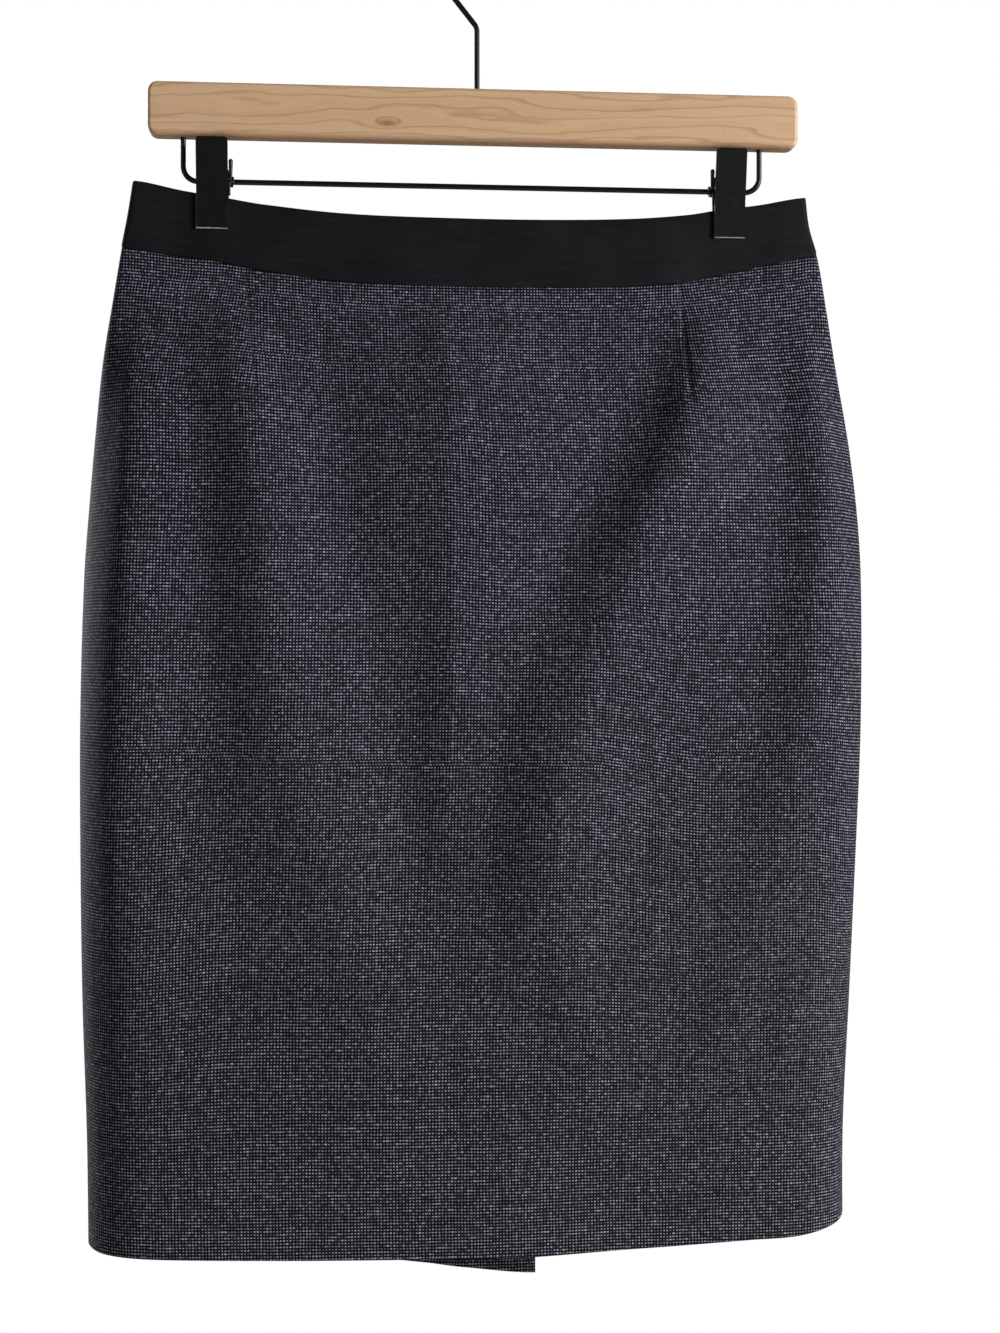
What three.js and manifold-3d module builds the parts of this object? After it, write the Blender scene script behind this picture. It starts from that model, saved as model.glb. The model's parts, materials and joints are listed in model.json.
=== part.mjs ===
// A pencil skirt, hung by its waistband from a wooden skirt hanger with two clips.
// Millimetres. +Z is up, -Y is the front of the skirt, +X is the right side seen from the front.
// The origin is the inner top of the hanger's hook, where a rod carries it.

import * as THREE from 'three';
import { mergeVertices } from 'three/addons/utils/BufferGeometryUtils.js';
import Module from 'manifold-3d';

const wasm = await Module();
wasm.setup();

// Driving sizes of the hanger
const BAR_LEFT = -175.9;
const BAR_RIGHT = 180.3;
const BAR_TOP = -88.3;
const BAR_HEIGHT = 29.2;
const BAR_THICK = 12;
const BAR_CORNER = 5;
const BAR_BEVEL = 2;
const HOOK_WIRE = 1.5;
const HOOK_RADIUS = 20;
const HOOK_SHANK_X = 2.4;
const HOOK_BEND_Z = -53.5;
const HOOK_BEND_RADIUS = 7;
const HOOK_DEPTH_IN_BAR = 18;
const HOOK_TIP_ANGLE = -25;
const RAIL_WIRE = 1.5;
const RAIL_Z = -141.1;
const RAIL_LEFT = -157.1;
const RAIL_RIGHT = 159.4;
const RAIL_BEND_RADIUS = 8;
const RAIL_DEPTH_IN_BAR = 9;
const BORE_SPARE = 1;
const FIT_GAP = 0.3;

// Driving sizes of the two clips
const CLIP_CENTRES = { left: -141.4, right: 142.4 };
const JAW_WIDTH = 17;
const JAW_THICK = 1.2;
const FRONT_JAW_TOP_Z = -118.8;
const BACK_JAW_TOP_Z = -131;
const JAW_BOTTOM_Z = -167.2;
const JAW_LEAN = 0.195;
const JAW_KNEE_OUT = 1.9;
const JAW_KNEE_RISE = 1;
const JAW_GRIP_DROP = 6;
const EAR_THICK = 0.9;
const EAR_RADIUS = 3.6;
const EAR_ROOT_TOP = 2.3;
const EAR_ROOT_BOTTOM = 0.7;
const FRONT_EAR_X = 5.4;
const BACK_EAR_X = 6.9;
const SPRING_WIRE = 0.5;
const SPRING_RADIUS = 2.5;
const SPRING_TURNS = 3;
const SPRING_SPACE = 0.25;
const SPRING_START = 200;
const SPRING_ARM = 8;
const SPRING_ARM_LEAN = 2.4;
const SPRING_FOOT_LEAN = 0.6;

// Driving sizes of the cloth
const BAND_WALL = 2.1;
const PANEL_WALL = 1.7;
const PANEL_INSET = 0.4;
const SEAM_GAP = 0.3;
const BAND_HALF_WIDTH = 187;
const END_SHARE = 0.05;
const FLAT_END = 1 - END_SHARE;
const FOLD_FADE_SHARE = 0.9;
const PINCH_DEPTH = BAND_WALL + SEAM_GAP / 2;
const PINCH_FLAT = 11;
const PINCH_FADE = 30;
const PINCH_DROP = 26;
const PINCH_DROP_FADE = 42;
const CENTRE_BACK = -3;
const HEM_LEVEL = -715;
const SEAM_LEVEL = -190;

// Driving sizes of the centre-back zip and vent
const ZIP_SLOT = 3;
const ZIP_END_Z = -350;
const TAPE_WIDTH = 24;
const TAPE_WALL = 1;
const TAPE_DEPTH = BAND_WALL + 0.35;
const RIB_WIDTH = 1.6;
const RIB_DEPTH = 0.5;
const RIB_STUB = 0.05;
const RIB_STEP = 0.1;
const RIB_END_RISE = 3;
const TAPE_TOP_DROP = 1;
const TAPE_END_DROP = 6;
const SLIDER_DROP = 8;
const SLIDER_WIDTH = 6;
const SLIDER_HEIGHT = 9;
const SLIDER_CORNER = 1.5;
const SLIDER_WALL = 1.2;
const SLIDER_CLEAR = 0.7;
const NECK_WIDTH = 1.6;
const NECK_HEIGHT = 6.8;
const NECK_CORNER = 0.5;
const NECK_REACH = 1.7;
const ARCH_WIDTH = 1.6;
const ARCH_HEIGHT = 3.4;
const ARCH_HOLE = 1.1;
const ARCH_HOLE_HEIGHT = 1.4;
const PULL_WIDTH = 4.8;
const PULL_LENGTH = 21;
const PULL_THICK = 1;
const PULL_CORNER = 0.45;
const PULL_WINDOW_WIDTH = 2.6;
const PULL_WINDOW_LENGTH = 4.6;
const VENT_TOP_Z = -536;
const VENT_SLANT = 14;
const UNDERLAP_EDGE = 35;
const UNDERLAP_START = -25;
const UNDERLAP_RUN = 19;
const UNDERLAP_STEP = PANEL_WALL + 0.8;
const VENT_EASE = 34;
const BACK_TOP_Z = -207;
const BACK_HEM_Z = { left: -739.5, right: -721 };
const ROW_EASE = 2;

// Outline of the skirt by height: the side edges seen from the front
const OUTLINE = [
  { z: -141, left: -184, right: 185.5 },
  { z: -160, left: -187, right: 187.8 },
  { z: -178, left: -190.4, right: 193 },
  { z: -204, left: -194.7, right: 197.5 },
  { z: -240, left: -200.4, right: 203.2 },
  { z: -280, left: -204.4, right: 210 },
  { z: -318, left: -207.6, right: 214.6 },
  { z: -356, left: -210.3, right: 216.7 },
  { z: -432, left: -212.4, right: 216.2 },
  { z: -508, left: -212.3, right: 213.3 },
  { z: -585, left: -211.2, right: 210 },
  { z: -660, left: -208.8, right: 206.6 },
  { z: -745, left: -207.8, right: 206.8 },
];

// Depth of the tube below the waist edge: half depths in front and behind, and the side's radius.
// square tells how square the section is: 2 is an oval, and from 8 on a box with round corners.
const DEPTHS = [
  { drop: 0, front: 3.3, back: 3.7, round: 2.7, square: 2.6 },
  { drop: 20, front: 3.9, back: 4.5, round: 3, square: 2.6 },
  { drop: 40, front: 5.6, back: 6.8, round: 3.4, square: 2.8 },
  { drop: 62, front: 10, back: 11, round: 4.3, square: 3.6 },
  { drop: 88, front: 17.5, back: 17.5, round: 5.6, square: 5.5 },
  { drop: 122, front: 27, back: 26, round: 7, square: 9 },
  { drop: 162, front: 35, back: 33, round: 8.5, square: 13 },
  { drop: 212, front: 41, back: 38, round: 9.5, square: 17 },
  { drop: 262, front: 44, back: 39, round: 10, square: 20 },
  { drop: 320, front: 44, back: 37, round: 10, square: 22 },
  { drop: 400, front: 41, back: 30, round: 10, square: 20 },
  { drop: 480, front: 38.5, back: 23.5, round: 10, square: 17 },
  { drop: 600, front: 36, back: 17, round: 10, square: 14 },
];

// Waist edge and waist seam across the band: the cloth sags between the clips, more at the back
const WAIST = [
  { x: -187, edge: -141.4, seam: -177, backEdge: -141.4, backSeam: -177 },
  { x: -175, edge: -142.2, seam: -179, backEdge: -142.2, backSeam: -179 },
  { x: -154, edge: -146.4, seam: -182, backEdge: -146.6, backSeam: -182.4 },
  { x: -132, edge: -149.7, seam: -184.6, backEdge: -150.6, backSeam: -186.4 },
  { x: -110, edge: -153.3, seam: -189.2, backEdge: -157, backSeam: -194.6 },
  { x: -67, edge: -157.4, seam: -194.9, backEdge: -165, backSeam: -203 },
  { x: -10, edge: -158.8, seam: -196.7, backEdge: -168.4, backSeam: -207 },
  { x: 42, edge: -158.7, seam: -196.3, backEdge: -168, backSeam: -206.5 },
  { x: 86, edge: -157.2, seam: -194.6, backEdge: -164, backSeam: -202 },
  { x: 115, edge: -154.4, seam: -190.4, backEdge: -157.8, backSeam: -195 },
  { x: 132, edge: -151.3, seam: -186.2, backEdge: -152.2, backSeam: -188.6 },
  { x: 154, edge: -148.2, seam: -181.2, backEdge: -148.4, backSeam: -182.4 },
  { x: 175, edge: -144.2, seam: -177, backEdge: -144.2, backSeam: -177.2 },
  { x: 187, edge: -143.2, seam: -173.4, backEdge: -143.2, backSeam: -173.4 },
];

// Hem by place across: the back hangs lower and the vent's underlap lowest
const HEM = [
  { x: -208, front: -714.5, back: -715 },
  { x: -180, front: -714.8, back: -717.5 },
  { x: -90, front: -716.3, back: -727 },
  { x: -3, front: -716.6, back: -735.5 },
  { x: 35, front: -717, back: -739.5 },
  { x: 100, front: -714.5, back: -739.5 },
  { x: 147, front: -712.1, back: -739.5 },
  { x: 175, front: -711, back: -739.5 },
  { x: 207, front: -706, back: -739.5 },
];
const HEM_BACK_RIGHT = [
  { x: -3, back: -721 },
  { x: 80, back: -717 },
  { x: 150, back: -712 },
  { x: 207, back: -706 },
];

// Folds: each is a ridge whose crest runs down the rows, with its height and the width of each flank.
// sharp goes from 0, a soft round crest, to 1, a pressed crease. Negative heights are troughs.
const FOLDS = [
  { name: 'left dart ridge', side: 'front', sharp: 0.2, rows: [
    { z: -205, x: -133, high: 0, left: 18, right: 26 },
    { z: -225, x: -131, high: 4, left: 21, right: 27 },
    { z: -264, x: -127, high: 5, left: 26, right: 37 },
    { z: -314, x: -116, high: 6, left: 33, right: 45 },
    { z: -364, x: -110, high: 6.5, left: 38, right: 55 },
    { z: -413, x: -104, high: 6.5, left: 42, right: 57 },
    { z: -463, x: -95, high: 6.2, left: 50, right: 60 },
    { z: -513, x: -79, high: 5.6, left: 60, right: 54 },
    { z: -563, x: -66, high: 4.6, left: 62, right: 50 },
    { z: -613, x: -55, high: 3, left: 62, right: 55 },
    { z: -690, x: -40, high: 0, left: 62, right: 60 } ] },
  { name: 'centre front crease', side: 'front', sharp: 0.85, rows: [
    { z: -203, x: -13.5, high: 1.2, left: 26, right: 50 },
    { z: -225, x: -13.5, high: 3, left: 28, right: 60 },
    { z: -289, x: -13.5, high: 4, left: 48, right: 60 },
    { z: -339, x: -13.5, high: 4.8, left: 52, right: 58 },
    { z: -388, x: -13.5, high: 4.2, left: 40, right: 44 },
    { z: -438, x: -15, high: 3.2, left: 28, right: 28 },
    { z: -488, x: -17, high: 2.2, left: 22, right: 24 },
    { z: -560, x: -18, high: 0, left: 20, right: 24 } ] },
  { name: 'right diagonal ridge', side: 'front', sharp: 0.25, rows: [
    { z: -198, x: 126, high: 0, left: 22, right: 30 },
    { z: -222, x: 126, high: 5, left: 26, right: 32 },
    { z: -264, x: 117, high: 8, left: 38, right: 55 },
    { z: -314, x: 95, high: 9, left: 46, right: 70 },
    { z: -364, x: 77, high: 8, left: 42, right: 76 },
    { z: -413, x: 60, high: 7, left: 44, right: 80 },
    { z: -463, x: 45, high: 6.2, left: 37, right: 90 },
    { z: -513, x: 41, high: 5.4, left: 36, right: 90 },
    { z: -563, x: 45, high: 4.6, left: 38, right: 75 },
    { z: -613, x: 62, high: 3.6, left: 42, right: 60 },
    { z: -690, x: 70, high: 0, left: 42, right: 60 } ] },
  { name: 'right side ridge', side: 'front', sharp: 0.3, rows: [
    { z: -210, x: 186, high: 0, left: 20, right: 16 },
    { z: -245, x: 187, high: 3.4, left: 22, right: 20 },
    { z: -314, x: 188, high: 3.6, left: 24, right: 24 },
    { z: -364, x: 180, high: 3, left: 26, right: 30 },
    { z: -413, x: 175, high: 2.4, left: 26, right: 36 },
    { z: -488, x: 162, high: 2.2, left: 24, right: 44 },
    { z: -563, x: 141, high: 2.2, left: 26, right: 60 },
    { z: -613, x: 125, high: 1.6, left: 30, right: 70 },
    { z: -670, x: 112, high: 0, left: 34, right: 80 } ] },
  { name: 'left side ridge', side: 'front', sharp: 0.2, rows: [
    { z: -205, x: -180, high: 0, left: 16, right: 30 },
    { z: -245, x: -182, high: 3, left: 18, right: 34 },
    { z: -413, x: -180, high: 3, left: 22, right: 40 },
    { z: -563, x: -176, high: 2.2, left: 24, right: 44 },
    { z: -690, x: -172, high: 0, left: 26, right: 44 } ] },
  { name: 'low centre ridge', side: 'front', sharp: 0, rows: [
    { z: -590, x: 26, high: 0, left: 46, right: 60 },
    { z: -640, x: 20, high: 1.8, left: 46, right: 60 },
    { z: -700, x: 18, high: 0.6, left: 46, right: 60 } ] },
  { name: 'seat ridge right', side: 'back', sharp: 0.2, rows: [
    { z: -214, x: 116, high: 0, left: 24, right: 28 },
    { z: -245, x: 114, high: 4.4, left: 28, right: 34 },
    { z: -330, x: 103, high: 6.4, left: 40, right: 54 },
    { z: -430, x: 92, high: 5.6, left: 46, right: 60 },
    { z: -540, x: 84, high: 4, left: 46, right: 60 },
    { z: -690, x: 78, high: 0, left: 46, right: 60 } ] },
  { name: 'seat ridge left', side: 'back', sharp: 0.2, rows: [
    { z: -214, x: -122, high: 0, left: 26, right: 30 },
    { z: -248, x: -118, high: 5, left: 30, right: 34 },
    { z: -345, x: -108, high: 6, left: 44, right: 50 },
    { z: -450, x: -98, high: 5.4, left: 52, right: 56 },
    { z: -565, x: -92, high: 3.4, left: 52, right: 56 },
    { z: -700, x: -88, high: 0, left: 52, right: 56 } ] },
  { name: 'back side ridge right', side: 'back', sharp: 0.2, rows: [
    { z: -215, x: 182, high: 0, left: 26, right: 18 },
    { z: -290, x: 184, high: 2.6, left: 28, right: 22 },
    { z: -480, x: 172, high: 2.2, left: 32, right: 34 },
    { z: -650, x: 160, high: 0, left: 34, right: 40 } ] },
  { name: 'back side ridge left', side: 'back', sharp: 0.2, rows: [
    { z: -215, x: -180, high: 0, left: 18, right: 28 },
    { z: -310, x: -182, high: 2.4, left: 22, right: 32 },
    { z: -520, x: -172, high: 2, left: 30, right: 36 },
    { z: -680, x: -166, high: 0, left: 34, right: 38 } ] },
  { name: 'vent trough', side: 'back', sharp: 0, rows: [
    { z: -400, x: 4, high: 0, left: 90, right: 90 },
    { z: -500, x: 6, high: -4, left: 100, right: 100 },
    { z: -600, x: 8, high: -8, left: 110, right: 110 },
    { z: -745, x: 8, high: -9, left: 120, right: 110 } ] },
];

// Columns across each piece of cloth, as counts
const END_COLUMNS = 3;
const FRONT_COLUMNS = 44;
const BACK_COLUMNS = 16;
const CENTRE_COLUMNS = 5;
const BAND_FRONT_COLUMNS = 34;
const BAND_BACK_COLUMNS = 16;
const PANEL_ROWS = 29;
const ROWS_BESIDE_ZIP = 8;
const ROWS_BELOW_ZIP = 9;
const ROWS_BESIDE_VENT = 9;
const TAPE_ROWS = 10;
const HOOK_STEPS = 26;
const HOOK_BEND_STEPS = 4;
const RAIL_BEND_STEPS = 5;
const WIRE_SIDES = 10;
const SPRING_STEPS = 9;
const SPRING_SIDES = 6;
const EAR_STEPS = 8;
const HOLE_SIDES = 12;
const BORE_SIDES = 16;

// Rows down the waistband, with the rounding of its edges
const BAND_ROWS = [
  { share: 0, rounding: 0.7 },
  { share: 0.05, rounding: 0 },
  { share: 0.5, rounding: 0 },
  { share: 0.96, rounding: 0 },
  { share: 1, rounding: 0.25 },
];

// Small maths

const radians = (degrees) => THREE.MathUtils.degToRad(degrees);
const clamp01 = (value) => THREE.MathUtils.clamp(value, 0, 1);
const soft = (value) => clamp01(value) * clamp01(value) * (3 - 2 * clamp01(value));
const mix = (from, to, share) => from + (to - from) * share;

// Reads one column of a table at a place, along a curve that keeps level where the rows do
function readTable(rows, key, column, place) {
  const rising = rows[rows.length - 1][key] > rows[0][key];
  const ordered = rising ? rows : [...rows].reverse();
  const last = ordered.length - 1;
  if (place <= ordered[0][key]) return ordered[0][column];
  if (place >= ordered[last][key]) return ordered[last][column];
  const i = ordered.findIndex((row, index) => index < last && place < ordered[index + 1][key]);
  const step = (j) => {
    const low = ordered[Math.max(j - 1, 0)];
    const high = ordered[Math.min(j + 1, last)];
    return (high[column] - low[column]) / (high[key] - low[key]);
  };
  const [a, b] = [ordered[i], ordered[i + 1]];
  const width = b[key] - a[key];
  const t = (place - a[key]) / width;
  const h10 = t * (1 - t) * (1 - t);
  const h11 = t * t * (t - 1);
  return mix(a[column], b[column], soft(t)) + width * (h10 * step(i) + h11 * step(i + 1));
}

// The cloth's form

const WAIST_COLUMNS = {
  front: { edge: 'edge', seam: 'seam' },
  back: { edge: 'backEdge', seam: 'backSeam' },
};
const waistEdge = (side, bandX) => readTable(WAIST, 'x', WAIST_COLUMNS[side].edge, bandX);
const waistSeam = (side, bandX) => readTable(WAIST, 'x', WAIST_COLUMNS[side].seam, bandX);

function flankHeight(share, sharp) {
  const rise = clamp01(share);
  return mix(soft(rise), rise, sharp);
}

// How far one fold stands out at a place
function foldHeight(fold, x, z) {
  const top = fold.rows[0].z;
  const bottom = fold.rows[fold.rows.length - 1].z;
  if (z > top || z < bottom) return 0;
  const at = (column) => readTable(fold.rows, 'z', column, z);
  const away = x - at('x');
  const run = away < 0 ? at('left') : at('right');
  return at('high') * flankHeight(1 - Math.abs(away) / run, fold.sharp);
}

const foldsOf = { front: FOLDS.filter((fold) => fold.side === 'front'),
  back: FOLDS.filter((fold) => fold.side === 'back') };
const foldsAt = (side, x, z) =>
  foldsOf[side].reduce((sum, fold) => sum + foldHeight(fold, x, z), 0);

// How strongly a clip pinches the two layers together at a place, from 0 to 1
function pinchAt(x, drop) {
  const across = Math.max(...Object.values(CLIP_CENTRES).map((centre) =>
    1 - soft((Math.abs(x - centre) - PINCH_FLAT) / PINCH_FADE)));
  return across * (1 - soft((drop - PINCH_DROP) / PINCH_DROP_FADE));
}

// A section of the tube: where a share across, from -1 at the left seam to 1, lies at a height
function sectionAt(across, z) {
  const left = readTable(OUTLINE, 'z', 'left', z);
  const right = readTable(OUTLINE, 'z', 'right', z);
  const half = (right - left) / 2;
  const middle = (right + left) / 2;
  return { half, middle, sign: Math.sign(across), size: Math.abs(across) };
}

function clothPoint(side, across, z) {
  const { half, middle, sign, size } = sectionAt(across, z);
  const bandX = across * BAND_HALF_WIDTH;
  const drop = waistEdge(side, bandX) - z;
  const round = readTable(DEPTHS, 'drop', 'round', drop);
  const depth = readTable(DEPTHS, 'drop', side, drop);
  const square = readTable(DEPTHS, 'drop', 'square', drop);
  const flat = half - round;
  const turn = Math.max(size - FLAT_END, 0) / END_SHARE * Math.PI / 2;
  const out = turn > 0 ? flat + round * Math.sin(turn) : size / FLAT_END * flat;
  const x = middle + sign * out;
  const share = out / half;
  const edge = round * Math.cos(turn);
  const belly = (depth - round) * (1 - Math.pow(share, square));
  const fade = soft((share - FOLD_FADE_SHARE) / (1 - FOLD_FADE_SHARE));
  const fold = foldsAt(side, x, z) * (1 - fade);
  const free = edge + belly + fold;
  const outward = mix(free, PINCH_DEPTH, pinchAt(x, drop));
  return new THREE.Vector3(x, (side === 'front' ? -1 : 1) * outward, z);
}

// The outward direction of the cloth at a place
function clothNormal(side, across, z) {
  const STEP_ACROSS = 0.0015;
  const STEP_DOWN = 0.5;
  const low = clothPoint(side, Math.max(across - STEP_ACROSS, -1), z);
  const high = clothPoint(side, Math.min(across + STEP_ACROSS, 1), z);
  const below = clothPoint(side, across, z - STEP_DOWN);
  const above = clothPoint(side, across, z + STEP_DOWN);
  const along = high.sub(low);
  const up = above.sub(below);
  const normal = side === 'front' ? along.cross(up) : up.cross(along);
  return normal.normalize();
}

// The share across at which the cloth has a given x at a height
function acrossOf(x, z) {
  const drop = waistEdge('front', x) - z;
  const { half, middle } = sectionAt(0, z);
  const flat = half - readTable(DEPTHS, 'drop', 'round', drop);
  return (x - middle) / flat * FLAT_END;
}

// Solids from grids of points

// Joins an outer and an inner grid of points, row by row, into one closed wall
function closedWall(outer, inner) {
  const rows = outer.length;
  const columns = outer[0].length;
  const positions = [...outer.flat(), ...inner.flat()].flatMap((point) => point.toArray());
  const out = (row, column) => row * columns + column;
  const into = (row, column) => rows * columns + out(row, column);
  const faces = [];
  const quad = (a, b, c, d) => faces.push(a, b, c, a, c, d);
  for (let i = 0; i < rows - 1; i += 1) {
    for (let j = 0; j < columns - 1; j += 1) {
      quad(out(i, j), out(i + 1, j), out(i + 1, j + 1), out(i, j + 1));
      quad(into(i, j), into(i, j + 1), into(i + 1, j + 1), into(i + 1, j));
    }
    quad(out(i, 0), into(i, 0), into(i + 1, 0), out(i + 1, 0));
    quad(out(i, columns - 1), out(i + 1, columns - 1), into(i + 1, columns - 1), into(i, columns - 1));
  }
  for (let j = 0; j < columns - 1; j += 1) {
    quad(out(0, j), out(0, j + 1), into(0, j + 1), into(0, j));
    quad(out(rows - 1, j), into(rows - 1, j), into(rows - 1, j + 1), out(rows - 1, j + 1));
  }
  return facedOut(positions, faces);
}

// Joins closed loops of points, one after another, into one solid with flat ends
function closedLoft(loops, endTriangles) {
  const size = loops[0].length;
  const positions = loops.flat().flatMap((point) => point.toArray());
  const faces = [];
  for (let i = 0; i < loops.length - 1; i += 1) {
    for (let j = 0; j < size; j += 1) {
      const next = (j + 1) % size;
      const [a, b] = [i * size + j, i * size + next];
      faces.push(a, b, b + size, a, b + size, a + size);
    }
  }
  const last = (loops.length - 1) * size;
  endTriangles.forEach(([a, b, c]) => {
    faces.push(a, c, b);
    faces.push(last + a, last + b, last + c);
  });
  return facedOut(positions, faces);
}

// A geometry from points and faces, turned so that its faces look out
function facedOut(positions, faces) {
  const point = (index) => new THREE.Vector3().fromArray(positions, index * 3);
  let volume = 0;
  for (let i = 0; i < faces.length; i += 3) {
    const [a, b, c] = [point(faces[i]), point(faces[i + 1]), point(faces[i + 2])];
    volume += a.dot(b.cross(c));
  }
  const ordered = volume > 0 ? faces : [...faces].reverse();
  const geometry = new THREE.BufferGeometry();
  geometry.setAttribute('position', new THREE.Float32BufferAttribute(positions, 3));
  geometry.setIndex(ordered);
  return geometry;
}

function toManifold(geometry) {
  const plain = geometry.clone();
  plain.deleteAttribute('normal');
  plain.deleteAttribute('uv');
  const merged = mergeVertices(plain, 1e-4);
  return new wasm.Manifold(new wasm.Mesh({
    numProp: 3,
    vertProperties: new Float32Array(merged.attributes.position.array),
    triVerts: new Uint32Array(merged.index.array),
  }));
}

function fromManifold(solid) {
  const mesh = solid.getMesh();
  const geometry = new THREE.BufferGeometry();
  geometry.setAttribute('position', new THREE.Float32BufferAttribute(mesh.vertProperties, 3));
  geometry.setIndex([...mesh.triVerts]);
  return geometry;
}

const joined = (...parts) => fromManifold(parts.map(toManifold).reduce((a, b) => a.add(b)));
const cutBy = (body, ...cutters) =>
  fromManifold(cutters.map(toManifold).reduce((a, b) => a.subtract(b), toManifold(body)));

// Pieces of cloth

const even = (from, to, count) =>
  Array.from({ length: count + 1 }, (_, i) => mix(from, to, i / count));
const leftEnd = even(-1, -FLAT_END, END_COLUMNS).slice(0, -1);
const rightEnd = even(FLAT_END, 1, END_COLUMNS).slice(1);
const wholeFront = [...leftEnd, ...even(-FLAT_END, FLAT_END, FRONT_COLUMNS), ...rightEnd];
const panelRows = even(0, 1, PANEL_ROWS);

// One point of a piece of cloth, moved in from the form by a depth, and clear of the side seam
function pointInside(side, across, z, depth) {
  const point = clothPoint(side, across, z);
  point.addScaledVector(clothNormal(side, across, z), -depth);
  if (Math.abs(across) === 1) point.y += (side === 'front' ? -1 : 1) * SEAM_GAP / 2;
  return point;
}

// A piece of cloth. columns(z) gives the shares across, rows the shares from its top to its bottom,
// rounding how much each row is worn in, and sink how far a place lies below the form.
function clothPiece({ side, columns, rows, topAt, bottomAt, inset, wall, rounding, sink }) {
  const atTop = columns(SEAM_LEVEL);
  const atHem = columns(HEM_LEVEL);
  const layer = (depthOf) => rows.map((share, row) => atTop.map((acrossTop, column) => {
    const bandX = acrossTop * BAND_HALF_WIDTH;
    const hemX = clothPoint(side, atHem[column], HEM_LEVEL).x;
    const z = mix(topAt(bandX), bottomAt(bandX, hemX), share);
    const across = columns(z)[column];
    const x = clothPoint(side, across, z).x;
    return pointInside(side, across, z, depthOf(row) + sink(x, z));
  }));
  const outer = layer((row) => inset + rounding(row));
  const inner = layer((row) => inset + wall - rounding(row));
  return closedWall(outer, inner);
}

const notSunk = () => 0;
const notRounded = () => 0;

// Where the centre-back edge of each back panel runs, left of the centre and right of it
function leftBackEdge(z) {
  if (z > ZIP_END_Z) return CENTRE_BACK - ZIP_SLOT / 2;
  const below = clamp01((VENT_TOP_Z - z) / VENT_SLANT);
  return mix(CENTRE_BACK - SEAM_GAP / 2, UNDERLAP_EDGE, below);
}
const rightBackEdge = (z) => CENTRE_BACK + (z > ZIP_END_Z ? ZIP_SLOT : SEAM_GAP) / 2;

function leftBackColumns(z) {
  const start = acrossOf(UNDERLAP_START, z);
  const edge = acrossOf(leftBackEdge(z), z);
  const toEdge = even(start, edge, CENTRE_COLUMNS).slice(1);
  return [...leftEnd, ...even(-FLAT_END, start, BACK_COLUMNS), ...toEdge];
}
const rightBackColumns = (z) =>
  [...even(acrossOf(rightBackEdge(z), z), FLAT_END, BACK_COLUMNS + 2), ...rightEnd];

// How far the left back panel is sunk to pass under the right one at the vent
function underlapSink(x, z) {
  const across = soft((x - UNDERLAP_START) / UNDERLAP_RUN);
  const down = soft((VENT_TOP_Z + VENT_EASE - z) / (VENT_EASE - 2 * ROW_EASE));
  return UNDERLAP_STEP * across * down;
}

// Rows of a back panel, with close rows at the end of the zip and at the top of the vent
function backRows(hemZ) {
  const share = (z) => (BACK_TOP_Z - z) / (BACK_TOP_Z - hemZ);
  return [
    ...even(0, share(ZIP_END_Z + ROW_EASE), ROWS_BESIDE_ZIP),
    ...even(share(ZIP_END_Z - ROW_EASE), share(VENT_TOP_Z + ROW_EASE), ROWS_BELOW_ZIP),
    ...even(share(VENT_TOP_Z - VENT_SLANT), 1, ROWS_BESIDE_VENT),
  ];
}

function waistband(side, columns) {
  return clothPiece({
    side,
    columns,
    rows: BAND_ROWS.map((row) => row.share),
    topAt: (bandX) => waistEdge(side, bandX),
    bottomAt: (bandX) => waistSeam(side, bandX) + SEAM_GAP / 2,
    inset: 0,
    wall: BAND_WALL,
    rounding: (row) => BAND_ROWS[row].rounding,
    sink: notSunk,
  });
}

function panel(side, columns, rows, bottomAt, sink) {
  return clothPiece({
    side,
    columns,
    rows,
    topAt: (bandX) => waistSeam(side, bandX) - SEAM_GAP / 2,
    bottomAt: (bandX, hemX) => bottomAt(hemX),
    inset: PANEL_INSET,
    wall: PANEL_WALL,
    rounding: notRounded,
    sink,
  });
}

const frontHem = (x) => readTable(HEM, 'x', 'front', x);
const leftBackHem = (x) => readTable(HEM, 'x', 'back', x);
const rightBackHem = (x) => readTable(HEM_BACK_RIGHT, 'x', 'back', x);

// The zip

const zipTop = waistEdge('back', CENTRE_BACK);
const sliderZ = zipTop - SLIDER_DROP;
const sliderFace = clothPoint('back', acrossOf(CENTRE_BACK, sliderZ), sliderZ).y + SLIDER_CLEAR;
const pullAxis = new THREE.Vector3(
  CENTRE_BACK, sliderFace + SLIDER_WALL + ARCH_HOLE_HEIGHT, sliderZ);

// The zip's section: a tape behind the panels with the closed teeth as a rib in the slot
const ZIP_SECTION = [
  { x: -TAPE_WIDTH / 2, depth: TAPE_DEPTH + TAPE_WALL },
  { x: TAPE_WIDTH / 2, depth: TAPE_DEPTH + TAPE_WALL },
  { x: TAPE_WIDTH / 2, depth: TAPE_DEPTH },
  { x: RIB_WIDTH / 2, depth: TAPE_DEPTH },
  { x: RIB_WIDTH / 2, depth: RIB_DEPTH },
  { x: -RIB_WIDTH / 2, depth: RIB_DEPTH },
  { x: -RIB_WIDTH / 2, depth: TAPE_DEPTH },
  { x: -TAPE_WIDTH / 2, depth: TAPE_DEPTH },
];

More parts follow.
